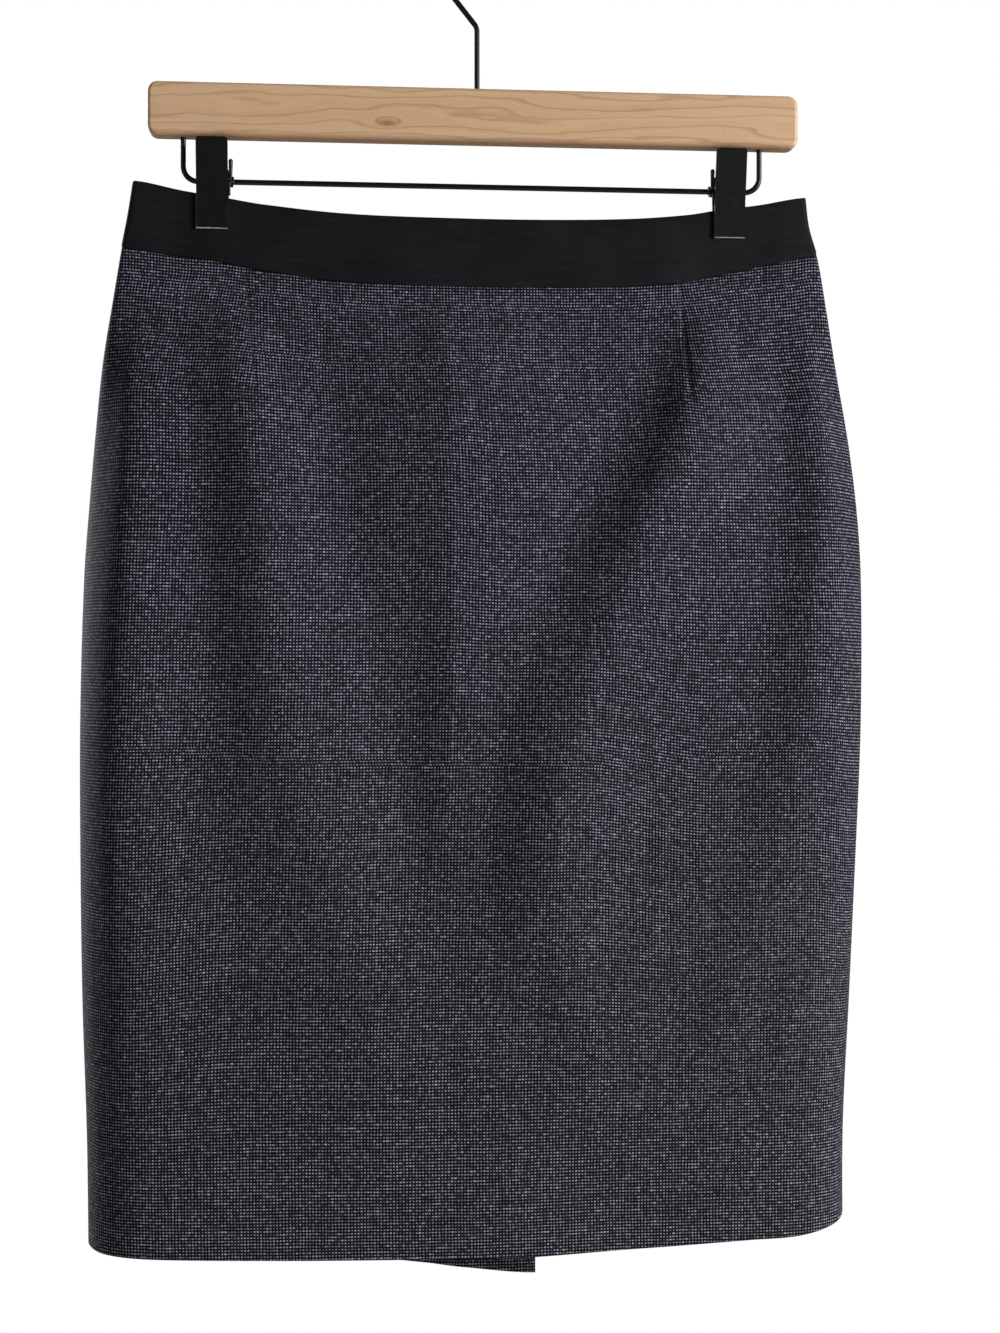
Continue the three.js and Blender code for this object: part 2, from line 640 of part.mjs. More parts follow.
function zipTape() {
  const ribTop = sliderZ - SLIDER_HEIGHT / 2;
  const ribEnd = ZIP_END_Z + RIB_END_RISE;
  const levels = [zipTop - TAPE_TOP_DROP, ribTop + RIB_STEP, ...even(ribTop, ribEnd, TAPE_ROWS),
    ribEnd - RIB_STEP, ZIP_END_Z - TAPE_END_DROP];
  const hasRib = (z) => z <= ribTop && z >= ribEnd;
  const loops = levels.map((z) => ZIP_SECTION.map((corner) => {
    const flatDepth = TAPE_DEPTH - RIB_STUB;
    const depth = corner.depth === RIB_DEPTH && !hasRib(z) ? flatDepth : corner.depth;
    return pointInside('back', acrossOf(CENTRE_BACK + corner.x, z), z, depth);
  }));
  const outline = ZIP_SECTION.map((corner) => new THREE.Vector2(corner.x, -corner.depth));
  return closedLoft(loops, THREE.ShapeUtils.triangulateShape(outline, []));
}

// A flat plate from an outline drawn in the plane of X and Z, from one depth in Y to another
function plateInFront(shape, fromY, toY, curveSegments = 4) {
  const geometry = new THREE.ExtrudeGeometry(shape, {
    depth: toY - fromY, bevelEnabled: false, curveSegments });
  geometry.rotateX(Math.PI / 2);
  geometry.translate(0, toY, 0);
  return geometry;
}

// A plate from an outline drawn in the plane of Y and Z, from one place in X to another
function plateAcross(shape, fromX, toX, curveSegments = 4) {
  const geometry = new THREE.ExtrudeGeometry(shape, {
    depth: toX - fromX, bevelEnabled: false, curveSegments });
  geometry.applyMatrix4(new THREE.Matrix4().makeBasis(
    new THREE.Vector3(0, 1, 0), new THREE.Vector3(0, 0, 1), new THREE.Vector3(1, 0, 0)));
  geometry.translate(fromX, 0, 0);
  return geometry;
}

function roundedRectangle(left, bottom, right, top, radius) {
  const shape = new THREE.Shape();
  shape.absarc(right - radius, top - radius, radius, 0, Math.PI / 2);
  shape.absarc(left + radius, top - radius, radius, Math.PI / 2, Math.PI);
  shape.absarc(left + radius, bottom + radius, radius, Math.PI, Math.PI * 1.5);
  shape.absarc(right - radius, bottom + radius, radius, Math.PI * 1.5, Math.PI * 2);
  return shape;
}

// A round outline with its corners on a circle, as points for a hole or a wire's section
const circlePoints = (x, y, radius, sides) =>
  even(0, 2 * Math.PI, sides).slice(0, -1).map((angle) =>
    new THREE.Vector2(x + radius * Math.cos(angle), y + radius * Math.sin(angle)));
const roundHole = (x, y, radius) => new THREE.Path(circlePoints(x, y, radius, HOLE_SIDES));

// The slider: an outer plate, a neck through the slot between the teeth, and an arch for the tab
function zipSlider() {
  const { x, z } = pullAxis;
  const half = SLIDER_WIDTH / 2;
  const tall = SLIDER_HEIGHT / 2;
  const plateShape = roundedRectangle(x - half, z - tall, x + half, z + tall, SLIDER_CORNER);
  const plate = plateInFront(plateShape, sliderFace, sliderFace + SLIDER_WALL);
  const neckHalf = NECK_WIDTH / 2;
  const neckTall = NECK_HEIGHT / 2;
  const neckShape = roundedRectangle(x - neckHalf, z - neckTall, x + neckHalf, z + neckTall,
    NECK_CORNER);
  const neckIn = sliderFace - SLIDER_CLEAR - NECK_REACH;
  const base = sliderFace + SLIDER_WALL / 2;
  const neck = plateInFront(neckShape, neckIn, base, 2);
  const archTop = sliderFace + SLIDER_WALL + ARCH_HEIGHT;
  const arch = roundedRectangle(base, z - neckTall, archTop, z + neckTall, NECK_CORNER);
  arch.holes.push(roundHole(pullAxis.y, z, ARCH_HOLE));
  const bridge = plateAcross(arch, x - ARCH_WIDTH / 2, x + ARCH_WIDTH / 2);
  return joined(plate, neck, bridge);
}

// The pull tab, drawn about its hinge: its top bar lies in the slider's arch
function zipPull() {
  const half = PULL_WIDTH / 2;
  const bar = PULL_THICK / 2;
  const shape = roundedRectangle(-half, -PULL_LENGTH, half, bar, PULL_CORNER);
  const windowHalf = PULL_WINDOW_WIDTH / 2;
  const opening = new THREE.Path([
    new THREE.Vector2(-windowHalf, -bar),
    new THREE.Vector2(-windowHalf, -PULL_WINDOW_LENGTH),
    new THREE.Vector2(windowHalf, -PULL_WINDOW_LENGTH),
    new THREE.Vector2(windowHalf, -bar),
  ]);
  shape.holes.push(opening);
  return plateInFront(shape, -bar, bar, 3);
}

// The hanger

// A route through points that keeps a step at each of them, for wires with long straight runs
class WireRoute extends THREE.Curve {
  constructor(points) {
    super();
    this.points = points;
  }

  getPoint(share) {
    const place = THREE.MathUtils.clamp(share, 0, 1) * (this.points.length - 1);
    const index = Math.min(Math.floor(place), this.points.length - 2);
    return this.points[index].clone().lerp(this.points[index + 1], place - index);
  }

  getPointAt(share) {
    return this.getPoint(share);
  }

  getTangentAt(share) {
    return this.getTangent(share);
  }
}

function wireAlong(points, radius, sides) {
  const section = new THREE.Shape(circlePoints(0, 0, radius, sides));
  return new THREE.ExtrudeGeometry(section, {
    steps: points.length - 1, bevelEnabled: false, extrudePath: new WireRoute(points) });
}

// Points of an arc in the plane of X and Z
function arcPoints(centreX, centreZ, radius, fromDegrees, toDegrees, steps) {
  return even(fromDegrees, toDegrees, steps).map((degrees) => new THREE.Vector3(
    centreX + radius * Math.cos(radians(degrees)), 0, centreZ + radius * Math.sin(radians(degrees))));
}

// The hook's route: up the shank, a bend to the left, then round the hook to its tip
function hookRoute() {
  const centreZ = -(HOOK_RADIUS - HOOK_WIRE);
  const reach = Math.hypot(HOOK_SHANK_X, centreZ - HOOK_BEND_Z);
  const lean = Math.asin(HOOK_RADIUS / reach) + Math.atan2(HOOK_SHANK_X, centreZ - HOOK_BEND_Z);
  const leanDegrees = THREE.MathUtils.radToDeg(lean);
  const back = HOOK_BEND_RADIUS * Math.tan(lean / 2);
  const bend = arcPoints(HOOK_SHANK_X - HOOK_BEND_RADIUS, HOOK_BEND_Z - back, HOOK_BEND_RADIUS,
    0, leanDegrees, HOOK_BEND_STEPS);
  const loop = arcPoints(0, centreZ, HOOK_RADIUS, 180 + leanDegrees, HOOK_TIP_ANGLE, HOOK_STEPS);
  const foot = new THREE.Vector3(HOOK_SHANK_X, 0, BAR_TOP - HOOK_DEPTH_IN_BAR);
  return [foot, ...bend, ...loop];
}

// The rail's route: down out of the bar, along under it, and up into it again
function railRoute() {
  const bottom = BAR_TOP - BAR_HEIGHT;
  const turnZ = RAIL_Z + RAIL_BEND_RADIUS;
  const bend = (x, from, to) => arcPoints(x, turnZ, RAIL_BEND_RADIUS, from, to, RAIL_BEND_STEPS);
  return [
    new THREE.Vector3(RAIL_LEFT, 0, bottom + RAIL_DEPTH_IN_BAR),
    ...bend(RAIL_LEFT + RAIL_BEND_RADIUS, 180, 270),
    ...bend(RAIL_RIGHT - RAIL_BEND_RADIUS, 270, 360),
    new THREE.Vector3(RAIL_RIGHT, 0, bottom + RAIL_DEPTH_IN_BAR),
  ];
}

// A round cutter that stands upright, for a bore in the bar
function bore(x, fromZ, toZ, radius) {
  const cylinder = new THREE.CylinderGeometry(radius, radius, toZ - fromZ, BORE_SIDES);
  cylinder.rotateX(Math.PI / 2);
  cylinder.translate(x, 0, (fromZ + toZ) / 2);
  return cylinder;
}

// The wooden bar: rounded corners and edges, bored for the hook and for the rail's two ends
function hangerBar() {
  const bottom = BAR_TOP - BAR_HEIGHT;
  const shape = roundedRectangle(BAR_LEFT + BAR_BEVEL, bottom + BAR_BEVEL,
    BAR_RIGHT - BAR_BEVEL, BAR_TOP - BAR_BEVEL, BAR_CORNER - BAR_BEVEL);
  const body = new THREE.ExtrudeGeometry(shape, {
    depth: BAR_THICK - 2 * BAR_BEVEL,
    bevelSize: BAR_BEVEL,
    bevelThickness: BAR_BEVEL,
    bevelSegments: 3,
    curveSegments: 5,
  });
  body.rotateX(Math.PI / 2);
  body.translate(0, BAR_THICK / 2 - BAR_BEVEL, 0);
  const hookBore = bore(HOOK_SHANK_X, BAR_TOP - HOOK_DEPTH_IN_BAR - BORE_SPARE,
    BAR_TOP + BORE_SPARE, HOOK_WIRE + FIT_GAP);
  const railBores = [RAIL_LEFT, RAIL_RIGHT].map((x) => bore(x, bottom - BORE_SPARE,
    bottom + RAIL_DEPTH_IN_BAR + BORE_SPARE, RAIL_WIRE + FIT_GAP));
  return cutBy(body, hookBore, ...railBores);
}

// The clips

// An outline of even thickness about a bent line of points, each given as [y, z]
function bentStrip(line, thick) {
  const points = line.map(([y, z]) => new THREE.Vector2(y, z));
  const offset = (side) => points.map((point, i) => {
    const before = points[Math.max(i - 1, 0)];
    const after = points[Math.min(i + 1, points.length - 1)];
    const along = after.clone().sub(before).normalize();
    return new THREE.Vector2(point.x - along.y * side * thick / 2, point.y + along.x * side * thick / 2);
  });
  return new THREE.Shape([...offset(1), ...offset(-1).reverse()]);
}

// One jaw: a bent plate with two ears that ride on the rail. facing is -1 in front and 1 behind.
// Above its knee the plate leans out by JAW_LEAN for each millimetre up to its top.
function clipJaw(centreX, facing, topZ, earX) {
  const grip = PINCH_DEPTH + FIT_GAP + JAW_THICK / 2;
  const kneeOut = grip + JAW_KNEE_OUT;
  const kneeZ = RAIL_Z + JAW_KNEE_RISE;
  const line = [
    [facing * (kneeOut + JAW_LEAN * (topZ - kneeZ)), topZ],
    [facing * kneeOut, kneeZ],
    [facing * grip, RAIL_Z - JAW_GRIP_DROP],
    [facing * grip, JAW_BOTTOM_Z],
  ];
  const plate = plateAcross(bentStrip(line, JAW_THICK), centreX - JAW_WIDTH / 2,
    centreX + JAW_WIDTH / 2);
  const ears = [-1, 1].map((side) => {
    const shape = new THREE.Shape();
    shape.moveTo(facing * (grip + EAR_ROOT_TOP), RAIL_Z + EAR_RADIUS);
    even(90, facing < 0 ? -90 : 270, EAR_STEPS).forEach((degrees) => {
      shape.lineTo(EAR_RADIUS * Math.cos(radians(degrees)),
        RAIL_Z + EAR_RADIUS * Math.sin(radians(degrees)));
    });
    shape.lineTo(facing * (grip + EAR_ROOT_BOTTOM), RAIL_Z - EAR_RADIUS);
    shape.holes.push(roundHole(0, RAIL_Z, RAIL_WIRE + FIT_GAP));
    const fromX = centreX + side * earX - EAR_THICK / 2;
    return plateAcross(shape, fromX, fromX + EAR_THICK, 3);
  });
  return joined(plate, ...ears);
}

// The spring beside a clip, wound on the rail, with an arm up each jaw. side is its side in X.
function clipSpring(centreX, side) {
  const start = centreX + side * (JAW_WIDTH / 2 + FIT_GAP + SPRING_WIRE);
  const pitch = 2 * SPRING_WIRE + SPRING_SPACE;
  const turns = even(0, SPRING_TURNS, SPRING_TURNS * SPRING_STEPS).map((turn) => {
    const angle = radians(SPRING_START) + turn * 2 * Math.PI;
    return new THREE.Vector3(start + side * pitch * turn,
      SPRING_RADIUS * Math.cos(angle), RAIL_Z + SPRING_RADIUS * Math.sin(angle));
  });
  const arm = new THREE.Vector3(0, -SPRING_ARM_LEAN, SPRING_ARM);
  const foot = new THREE.Vector3(0, SPRING_FOOT_LEAN, -SPRING_ARM);
  const first = turns[0].clone().add(arm);
  const last = turns[turns.length - 1].clone().add(foot);
  return wireAlong([first, ...turns, last], SPRING_WIRE, SPRING_SIDES);
}

// Materials

const finish = (color, roughness, metalness = 0) =>
  new THREE.MeshStandardMaterial({ color, roughness, metalness });
const hopsack = finish(0x33333a, 0.85);
const blackTwill = finish(0x141517, 0.75);
const zipTapeCloth = finish(0x121214, 0.8);
const darkMetal = finish(0x2a2b2d, 0.4, 0.9);
const maple = finish(0xc8a178, 0.5);
const blackWire = finish(0x111112, 0.35, 0.6);
const blackPlate = finish(0x151515, 0.4, 0.5);

// The scene graph

const hangingSkirt = new THREE.Group();

function add(name, geometry, material, group = hangingSkirt) {
  const mesh = new THREE.Mesh(geometry, material);
  mesh.name = name;
  group.add(mesh);
  return mesh;
}

const bandLeft = (z) => [...leftEnd,
  ...even(-FLAT_END, acrossOf(leftBackEdge(z), z), BAND_BACK_COLUMNS)];
const bandRight = (z) =>
  [...even(acrossOf(rightBackEdge(z), z), FLAT_END, BAND_BACK_COLUMNS), ...rightEnd];
const bandFront = [...leftEnd, ...even(-FLAT_END, FLAT_END, BAND_FRONT_COLUMNS), ...rightEnd];

add('waistband_front', waistband('front', () => bandFront), blackTwill);
add('waistband_back_left', waistband('back', bandLeft), blackTwill);
add('waistband_back_right', waistband('back', bandRight), blackTwill);
add('front_panel', panel('front', () => wholeFront, panelRows, frontHem, notSunk), hopsack);
add('back_panel_left', panel('back', leftBackColumns, backRows(BACK_HEM_Z.left), leftBackHem,
  underlapSink), hopsack);
add('back_panel_right', panel('back', rightBackColumns, backRows(BACK_HEM_Z.right), rightBackHem,
  notSunk), hopsack);

add('zip', zipTape(), zipTapeCloth);
add('zip_slider', zipSlider(), darkMetal);
const pullGroup = new THREE.Group();
pullGroup.position.copy(pullAxis);
hangingSkirt.add(pullGroup);
add('zip_pull', zipPull(), darkMetal, pullGroup);

add('hanger_bar', hangerBar(), maple);
add('hanger_hook', wireAlong(hookRoute(), HOOK_WIRE, WIRE_SIDES), blackWire);
add('hanger_rail', wireAlong(railRoute(), RAIL_WIRE, WIRE_SIDES), blackWire);
Object.entries(CLIP_CENTRES).forEach(([place, centreX]) => {
  add(`clip_${place}_front_jaw`, clipJaw(centreX, -1, FRONT_JAW_TOP_Z, FRONT_EAR_X), blackPlate);
  add(`clip_${place}_back_jaw`, clipJaw(centreX, 1, BACK_JAW_TOP_Z, BACK_EAR_X), blackPlate);
  add(`clip_${place}_spring`, clipSpring(centreX, place === 'left' ? 1 : -1), blackWire);
});

export default hangingSkirt;
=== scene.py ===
"""A pencil skirt on a clip hanger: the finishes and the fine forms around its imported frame.

Blender works in metres, in the frame's own axes: the origin is the inner top of the hanger's hook,
+Z is up, -Y is the front of the skirt and +X the right side seen from the front. The sizes and tables
below are in millimetres, and MM turns them into metres.
"""

import json
import logging
import math
from dataclasses import dataclass
from enum import Enum
from typing import Callable, Iterable, Sequence

import bpy
import numpy as np
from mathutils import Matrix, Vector

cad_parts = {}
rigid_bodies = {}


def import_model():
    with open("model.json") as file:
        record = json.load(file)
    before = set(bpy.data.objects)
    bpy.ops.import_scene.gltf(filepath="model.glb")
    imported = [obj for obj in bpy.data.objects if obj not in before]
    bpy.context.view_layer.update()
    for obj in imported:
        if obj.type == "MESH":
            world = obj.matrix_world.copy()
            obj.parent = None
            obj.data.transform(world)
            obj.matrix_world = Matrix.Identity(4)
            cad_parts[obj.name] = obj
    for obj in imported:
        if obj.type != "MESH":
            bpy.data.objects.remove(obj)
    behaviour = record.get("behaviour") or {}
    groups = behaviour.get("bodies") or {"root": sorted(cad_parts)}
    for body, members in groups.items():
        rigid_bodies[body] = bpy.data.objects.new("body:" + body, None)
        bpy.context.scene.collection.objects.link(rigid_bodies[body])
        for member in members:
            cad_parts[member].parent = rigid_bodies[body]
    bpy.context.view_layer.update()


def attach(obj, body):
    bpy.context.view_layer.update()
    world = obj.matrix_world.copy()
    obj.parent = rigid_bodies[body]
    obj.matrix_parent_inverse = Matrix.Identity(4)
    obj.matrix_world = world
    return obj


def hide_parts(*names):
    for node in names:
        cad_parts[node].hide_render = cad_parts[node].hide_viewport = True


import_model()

log = logging.getLogger("pencil_skirt")

MM = 0.001
SKIRT_BODY = "hung_skirt"
PULL_BODY = "pull_tab"
GRAIN_MAP = "Grain"

Array = np.ndarray


# Small maths

def soft(value: Array) -> Array:
    """Returns a smooth step from 0 to 1 while value goes from 0 to 1."""
    held = np.clip(value, 0.0, 1.0)
    return held * held * (3.0 - 2.0 * held)


def mix(start: Array, end: Array, share: Array) -> Array:
    """Returns the value at a share of the way from start to end."""
    return start + (end - start) * share


def unit(vectors: Array) -> Array:
    """Returns vectors at length 1 along their last axis."""
    return vectors / np.maximum(np.linalg.norm(vectors, axis=-1, keepdims=True), 1e-12)


@dataclass(frozen=True)
class Table:
    """A short table with named columns, read along a smooth curve between its rows."""

    columns: tuple[str, ...]
    rows: tuple[tuple[float, ...], ...]

    def read(self, column: str, place: Array) -> Array:
        """Reads one column at places along the first one.

        Args:
            column: The name of the column to read.
            place: Places along the table's first column.

        Returns:
            The values there, which stay level beyond the table's ends.
        """
        keys = np.array([row[0] for row in self.rows], float)
        values = np.array([row[self.columns.index(column)] for row in self.rows], float)
        order = np.argsort(keys)
        keys, values = keys[order], values[order]
        last = len(keys) - 1
        before = np.maximum(np.arange(last + 1) - 1, 0)
        after = np.minimum(np.arange(last + 1) + 1, last)
        slopes = (values[after] - values[before]) / (keys[after] - keys[before])
        held = np.clip(place, keys[0], keys[-1])
        i = np.clip(np.searchsorted(keys, held, side="right") - 1, 0, last - 1)
        width = keys[i + 1] - keys[i]
        t = (held - keys[i]) / width
        bend = t * (1 - t) ** 2 * slopes[i] + t * t * (t - 1) * slopes[i + 1]
        return mix(values[i], values[i + 1], soft(t)) + width * bend


# The cloth's form

class Side(Enum):
    """The front and the back of the tube."""

    FRONT = "front"
    BACK = "back"

    @property
    def facing(self) -> float:
        """The sign of Y on this side."""
        return -1.0 if self is Side.FRONT else 1.0


OUTLINE = Table(("z", "left", "right"), (
    (-141, -184, 185.5),
    (-160, -187, 187.8),
    (-178, -190.4, 193),
    (-204, -194.7, 197.5),
    (-240, -200.4, 203.2),
    (-280, -204.4, 210),
    (-318, -207.6, 214.6),
    (-356, -210.3, 216.7),
    (-432, -212.4, 216.2),
    (-508, -212.3, 213.3),
    (-585, -211.2, 210),
    (-660, -208.8, 206.6),
    (-745, -207.8, 206.8),
))

DEPTHS = Table(("drop", "front", "back", "round", "square"), (
    (0, 3.3, 3.7, 2.7, 2.6),
    (20, 3.9, 4.5, 3, 2.6),
    (40, 5.6, 6.8, 3.4, 2.8),
    (62, 10, 11, 4.3, 3.6),
    (88, 17.5, 17.5, 5.6, 5.5),
    (122, 27, 26, 7, 9),
    (162, 35, 33, 8.5, 13),
    (212, 41, 38, 9.5, 17),
    (262, 44, 39, 10, 20),
    (320, 44, 37, 10, 22),
    (400, 41, 30, 10, 20),
    (480, 38.5, 23.5, 10, 17),
    (600, 36, 17, 10, 14),
))

WAIST = Table(("x", "front_edge", "front_seam", "back_edge", "back_seam"), (
    (-187, -141.4, -177, -141.4, -177),
    (-175, -142.2, -179, -142.2, -179),
    (-154, -146.4, -182, -146.6, -182.4),
    (-132, -149.7, -184.6, -150.6, -186.4),
    (-110, -153.3, -189.2, -157, -194.6),
    (-67, -157.4, -194.9, -165, -203),
    (-10, -158.8, -196.7, -168.4, -207),
    (42, -158.7, -196.3, -168, -206.5),
    (86, -157.2, -194.6, -164, -202),
    (115, -154.4, -190.4, -157.8, -195),
    (132, -151.3, -186.2, -152.2, -188.6),
    (154, -148.2, -181.2, -148.4, -182.4),
    (175, -144.2, -177, -144.2, -177.2),
    (187, -143.2, -173.4, -143.2, -173.4),
))

HEM = Table(("x", "front", "back"), (
    (-208, -714.5, -715),
    (-180, -714.8, -717.5),
    (-90, -716.3, -727),
    (-3, -716.6, -735.5),
    (35, -717, -739.5),
    (100, -714.5, -739.5),
    (147, -712.1, -739.5),
    (175, -711, -739.5),
    (207, -706, -739.5),
))

HEM_BACK_RIGHT = Table(("x", "back"), (
    (-3, -721),
    (80, -717),
    (150, -712),
    (207, -706),
))

BAND_HALF_WIDTH = 187.0
END_SHARE = 0.05
FLAT_END = 1 - END_SHARE
FOLD_FADE_SHARE = 0.9
CLIP_CENTRES = {"left": -141.4, "right": 142.4}
BAND_WALL = 2.1
PANEL_WALL = 1.7
PANEL_INSET = 0.4
SEAM_GAP = 0.3
PINCH_DEPTH = BAND_WALL + SEAM_GAP / 2
PINCH_FLAT = 11.0
PINCH_FADE = 30.0
PINCH_DROP = 26.0
PINCH_DROP_FADE = 42.0
CENTRE_BACK = -3.0
HEM_LEVEL = -715.0
SEAM_LEVEL = -190.0
ZIP_SLOT = 3.0
ZIP_END_Z = -350.0
VENT_TOP_Z = -536.0
VENT_SLANT = 14.0
UNDERLAP_EDGE = 35.0
UNDERLAP_START = -25.0
UNDERLAP_RUN = 19.0
UNDERLAP_STEP = PANEL_WALL + 0.8
VENT_EASE = 34.0
BACK_TOP_Z = -207.0
BACK_HEM_LEFT = -739.5
BACK_HEM_RIGHT = -721.0
ROW_EASE = 2.0


@dataclass(frozen=True)
class Fold:
    """A large fold: a ridge whose crest runs down its rows, with the width of each flank.

    sharp goes from 0, a soft round crest, to 1, a pressed crease. A negative height is a trough.
    """

    name: str
    side: Side
    sharp: float
    rows: tuple[tuple[float, float, float, float, float], ...]

    def height(self, x: Array, z: Array) -> Array:
        """Finds how far the fold stands out.

        Args:
            x: Places across.
            z: Their heights.

        Returns:
            The fold's height there.
        """
        table = Table(("z", "x", "high", "left", "right"), self.rows)
        away = x - table.read("x", z)
        run = np.where(away < 0, table.read("left", z), table.read("right", z))
        rise = np.clip(1 - np.abs(away) / run, 0, 1)
        within = (z <= self.rows[0][0]) & (z >= self.rows[-1][0])
        return np.where(within, table.read("high", z) * mix(soft(rise), rise, self.sharp), 0.0)


FOLDS = (
    Fold("left dart ridge", Side.FRONT, 0.2, (
        (-205, -133, 0, 18, 26),
        (-225, -131, 4, 21, 27),
        (-264, -127, 5, 26, 37),
        (-314, -116, 6, 33, 45),
        (-364, -110, 6.5, 38, 55),
        (-413, -104, 6.5, 42, 57),
        (-463, -95, 6.2, 50, 60),
        (-513, -79, 5.6, 60, 54),
        (-563, -66, 4.6, 62, 50),
        (-613, -55, 3, 62, 55),
        (-690, -40, 0, 62, 60),
    )),
    Fold("centre front crease", Side.FRONT, 0.85, (
        (-203, -13.5, 1.2, 26, 50),
        (-225, -13.5, 3, 28, 60),
        (-289, -13.5, 4, 48, 60),
        (-339, -13.5, 4.8, 52, 58),
        (-388, -13.5, 4.2, 40, 44),
        (-438, -15, 3.2, 28, 28),
        (-488, -17, 2.2, 22, 24),
        (-560, -18, 0, 20, 24),
    )),
    Fold("right diagonal ridge", Side.FRONT, 0.25, (
        (-198, 126, 0, 22, 30),
        (-222, 126, 5, 26, 32),
        (-264, 117, 8, 38, 55),
        (-314, 95, 9, 46, 70),
        (-364, 77, 8, 42, 76),
        (-413, 60, 7, 44, 80),
        (-463, 45, 6.2, 37, 90),
        (-513, 41, 5.4, 36, 90),
        (-563, 45, 4.6, 38, 75),
        (-613, 62, 3.6, 42, 60),
        (-690, 70, 0, 42, 60),
    )),
    Fold("right side ridge", Side.FRONT, 0.3, (
        (-210, 186, 0, 20, 16),
        (-245, 187, 3.4, 22, 20),
        (-314, 188, 3.6, 24, 24),
        (-364, 180, 3, 26, 30),
        (-413, 175, 2.4, 26, 36),
        (-488, 162, 2.2, 24, 44),
        (-563, 141, 2.2, 26, 60),
        (-613, 125, 1.6, 30, 70),
        (-670, 112, 0, 34, 80),
    )),
    Fold("left side ridge", Side.FRONT, 0.2, (
        (-205, -180, 0, 16, 30),
        (-245, -182, 3, 18, 34),
        (-413, -180, 3, 22, 40),
        (-563, -176, 2.2, 24, 44),
        (-690, -172, 0, 26, 44),
    )),
    Fold("low centre ridge", Side.FRONT, 0, (
        (-590, 26, 0, 46, 60),
        (-640, 20, 1.8, 46, 60),
        (-700, 18, 0.6, 46, 60),
    )),
    Fold("seat ridge right", Side.BACK, 0.2, (
        (-214, 116, 0, 24, 28),
        (-245, 114, 4.4, 28, 34),
        (-330, 103, 6.4, 40, 54),
        (-430, 92, 5.6, 46, 60),
        (-540, 84, 4, 46, 60),
        (-690, 78, 0, 46, 60),
    )),
    Fold("seat ridge left", Side.BACK, 0.2, (
        (-214, -122, 0, 26, 30),
        (-248, -118, 5, 30, 34),
        (-345, -108, 6, 44, 50),
        (-450, -98, 5.4, 52, 56),
        (-565, -92, 3.4, 52, 56),
        (-700, -88, 0, 52, 56),
    )),
    Fold("back side ridge right", Side.BACK, 0.2, (
        (-215, 182, 0, 26, 18),
        (-290, 184, 2.6, 28, 22),
        (-480, 172, 2.2, 32, 34),
        (-650, 160, 0, 34, 40),
    )),
    Fold("back side ridge left", Side.BACK, 0.2, (
        (-215, -180, 0, 18, 28),
        (-310, -182, 2.4, 22, 32),
        (-520, -172, 2, 30, 36),
        (-680, -166, 0, 34, 38),
    )),
    Fold("vent trough", Side.BACK, 0, (
        (-400, 4, 0, 90, 90),
        (-500, 6, -4, 100, 100),
        (-600, 8, -8, 110, 110),
        (-745, 8, -9, 120, 110),
    )),
)


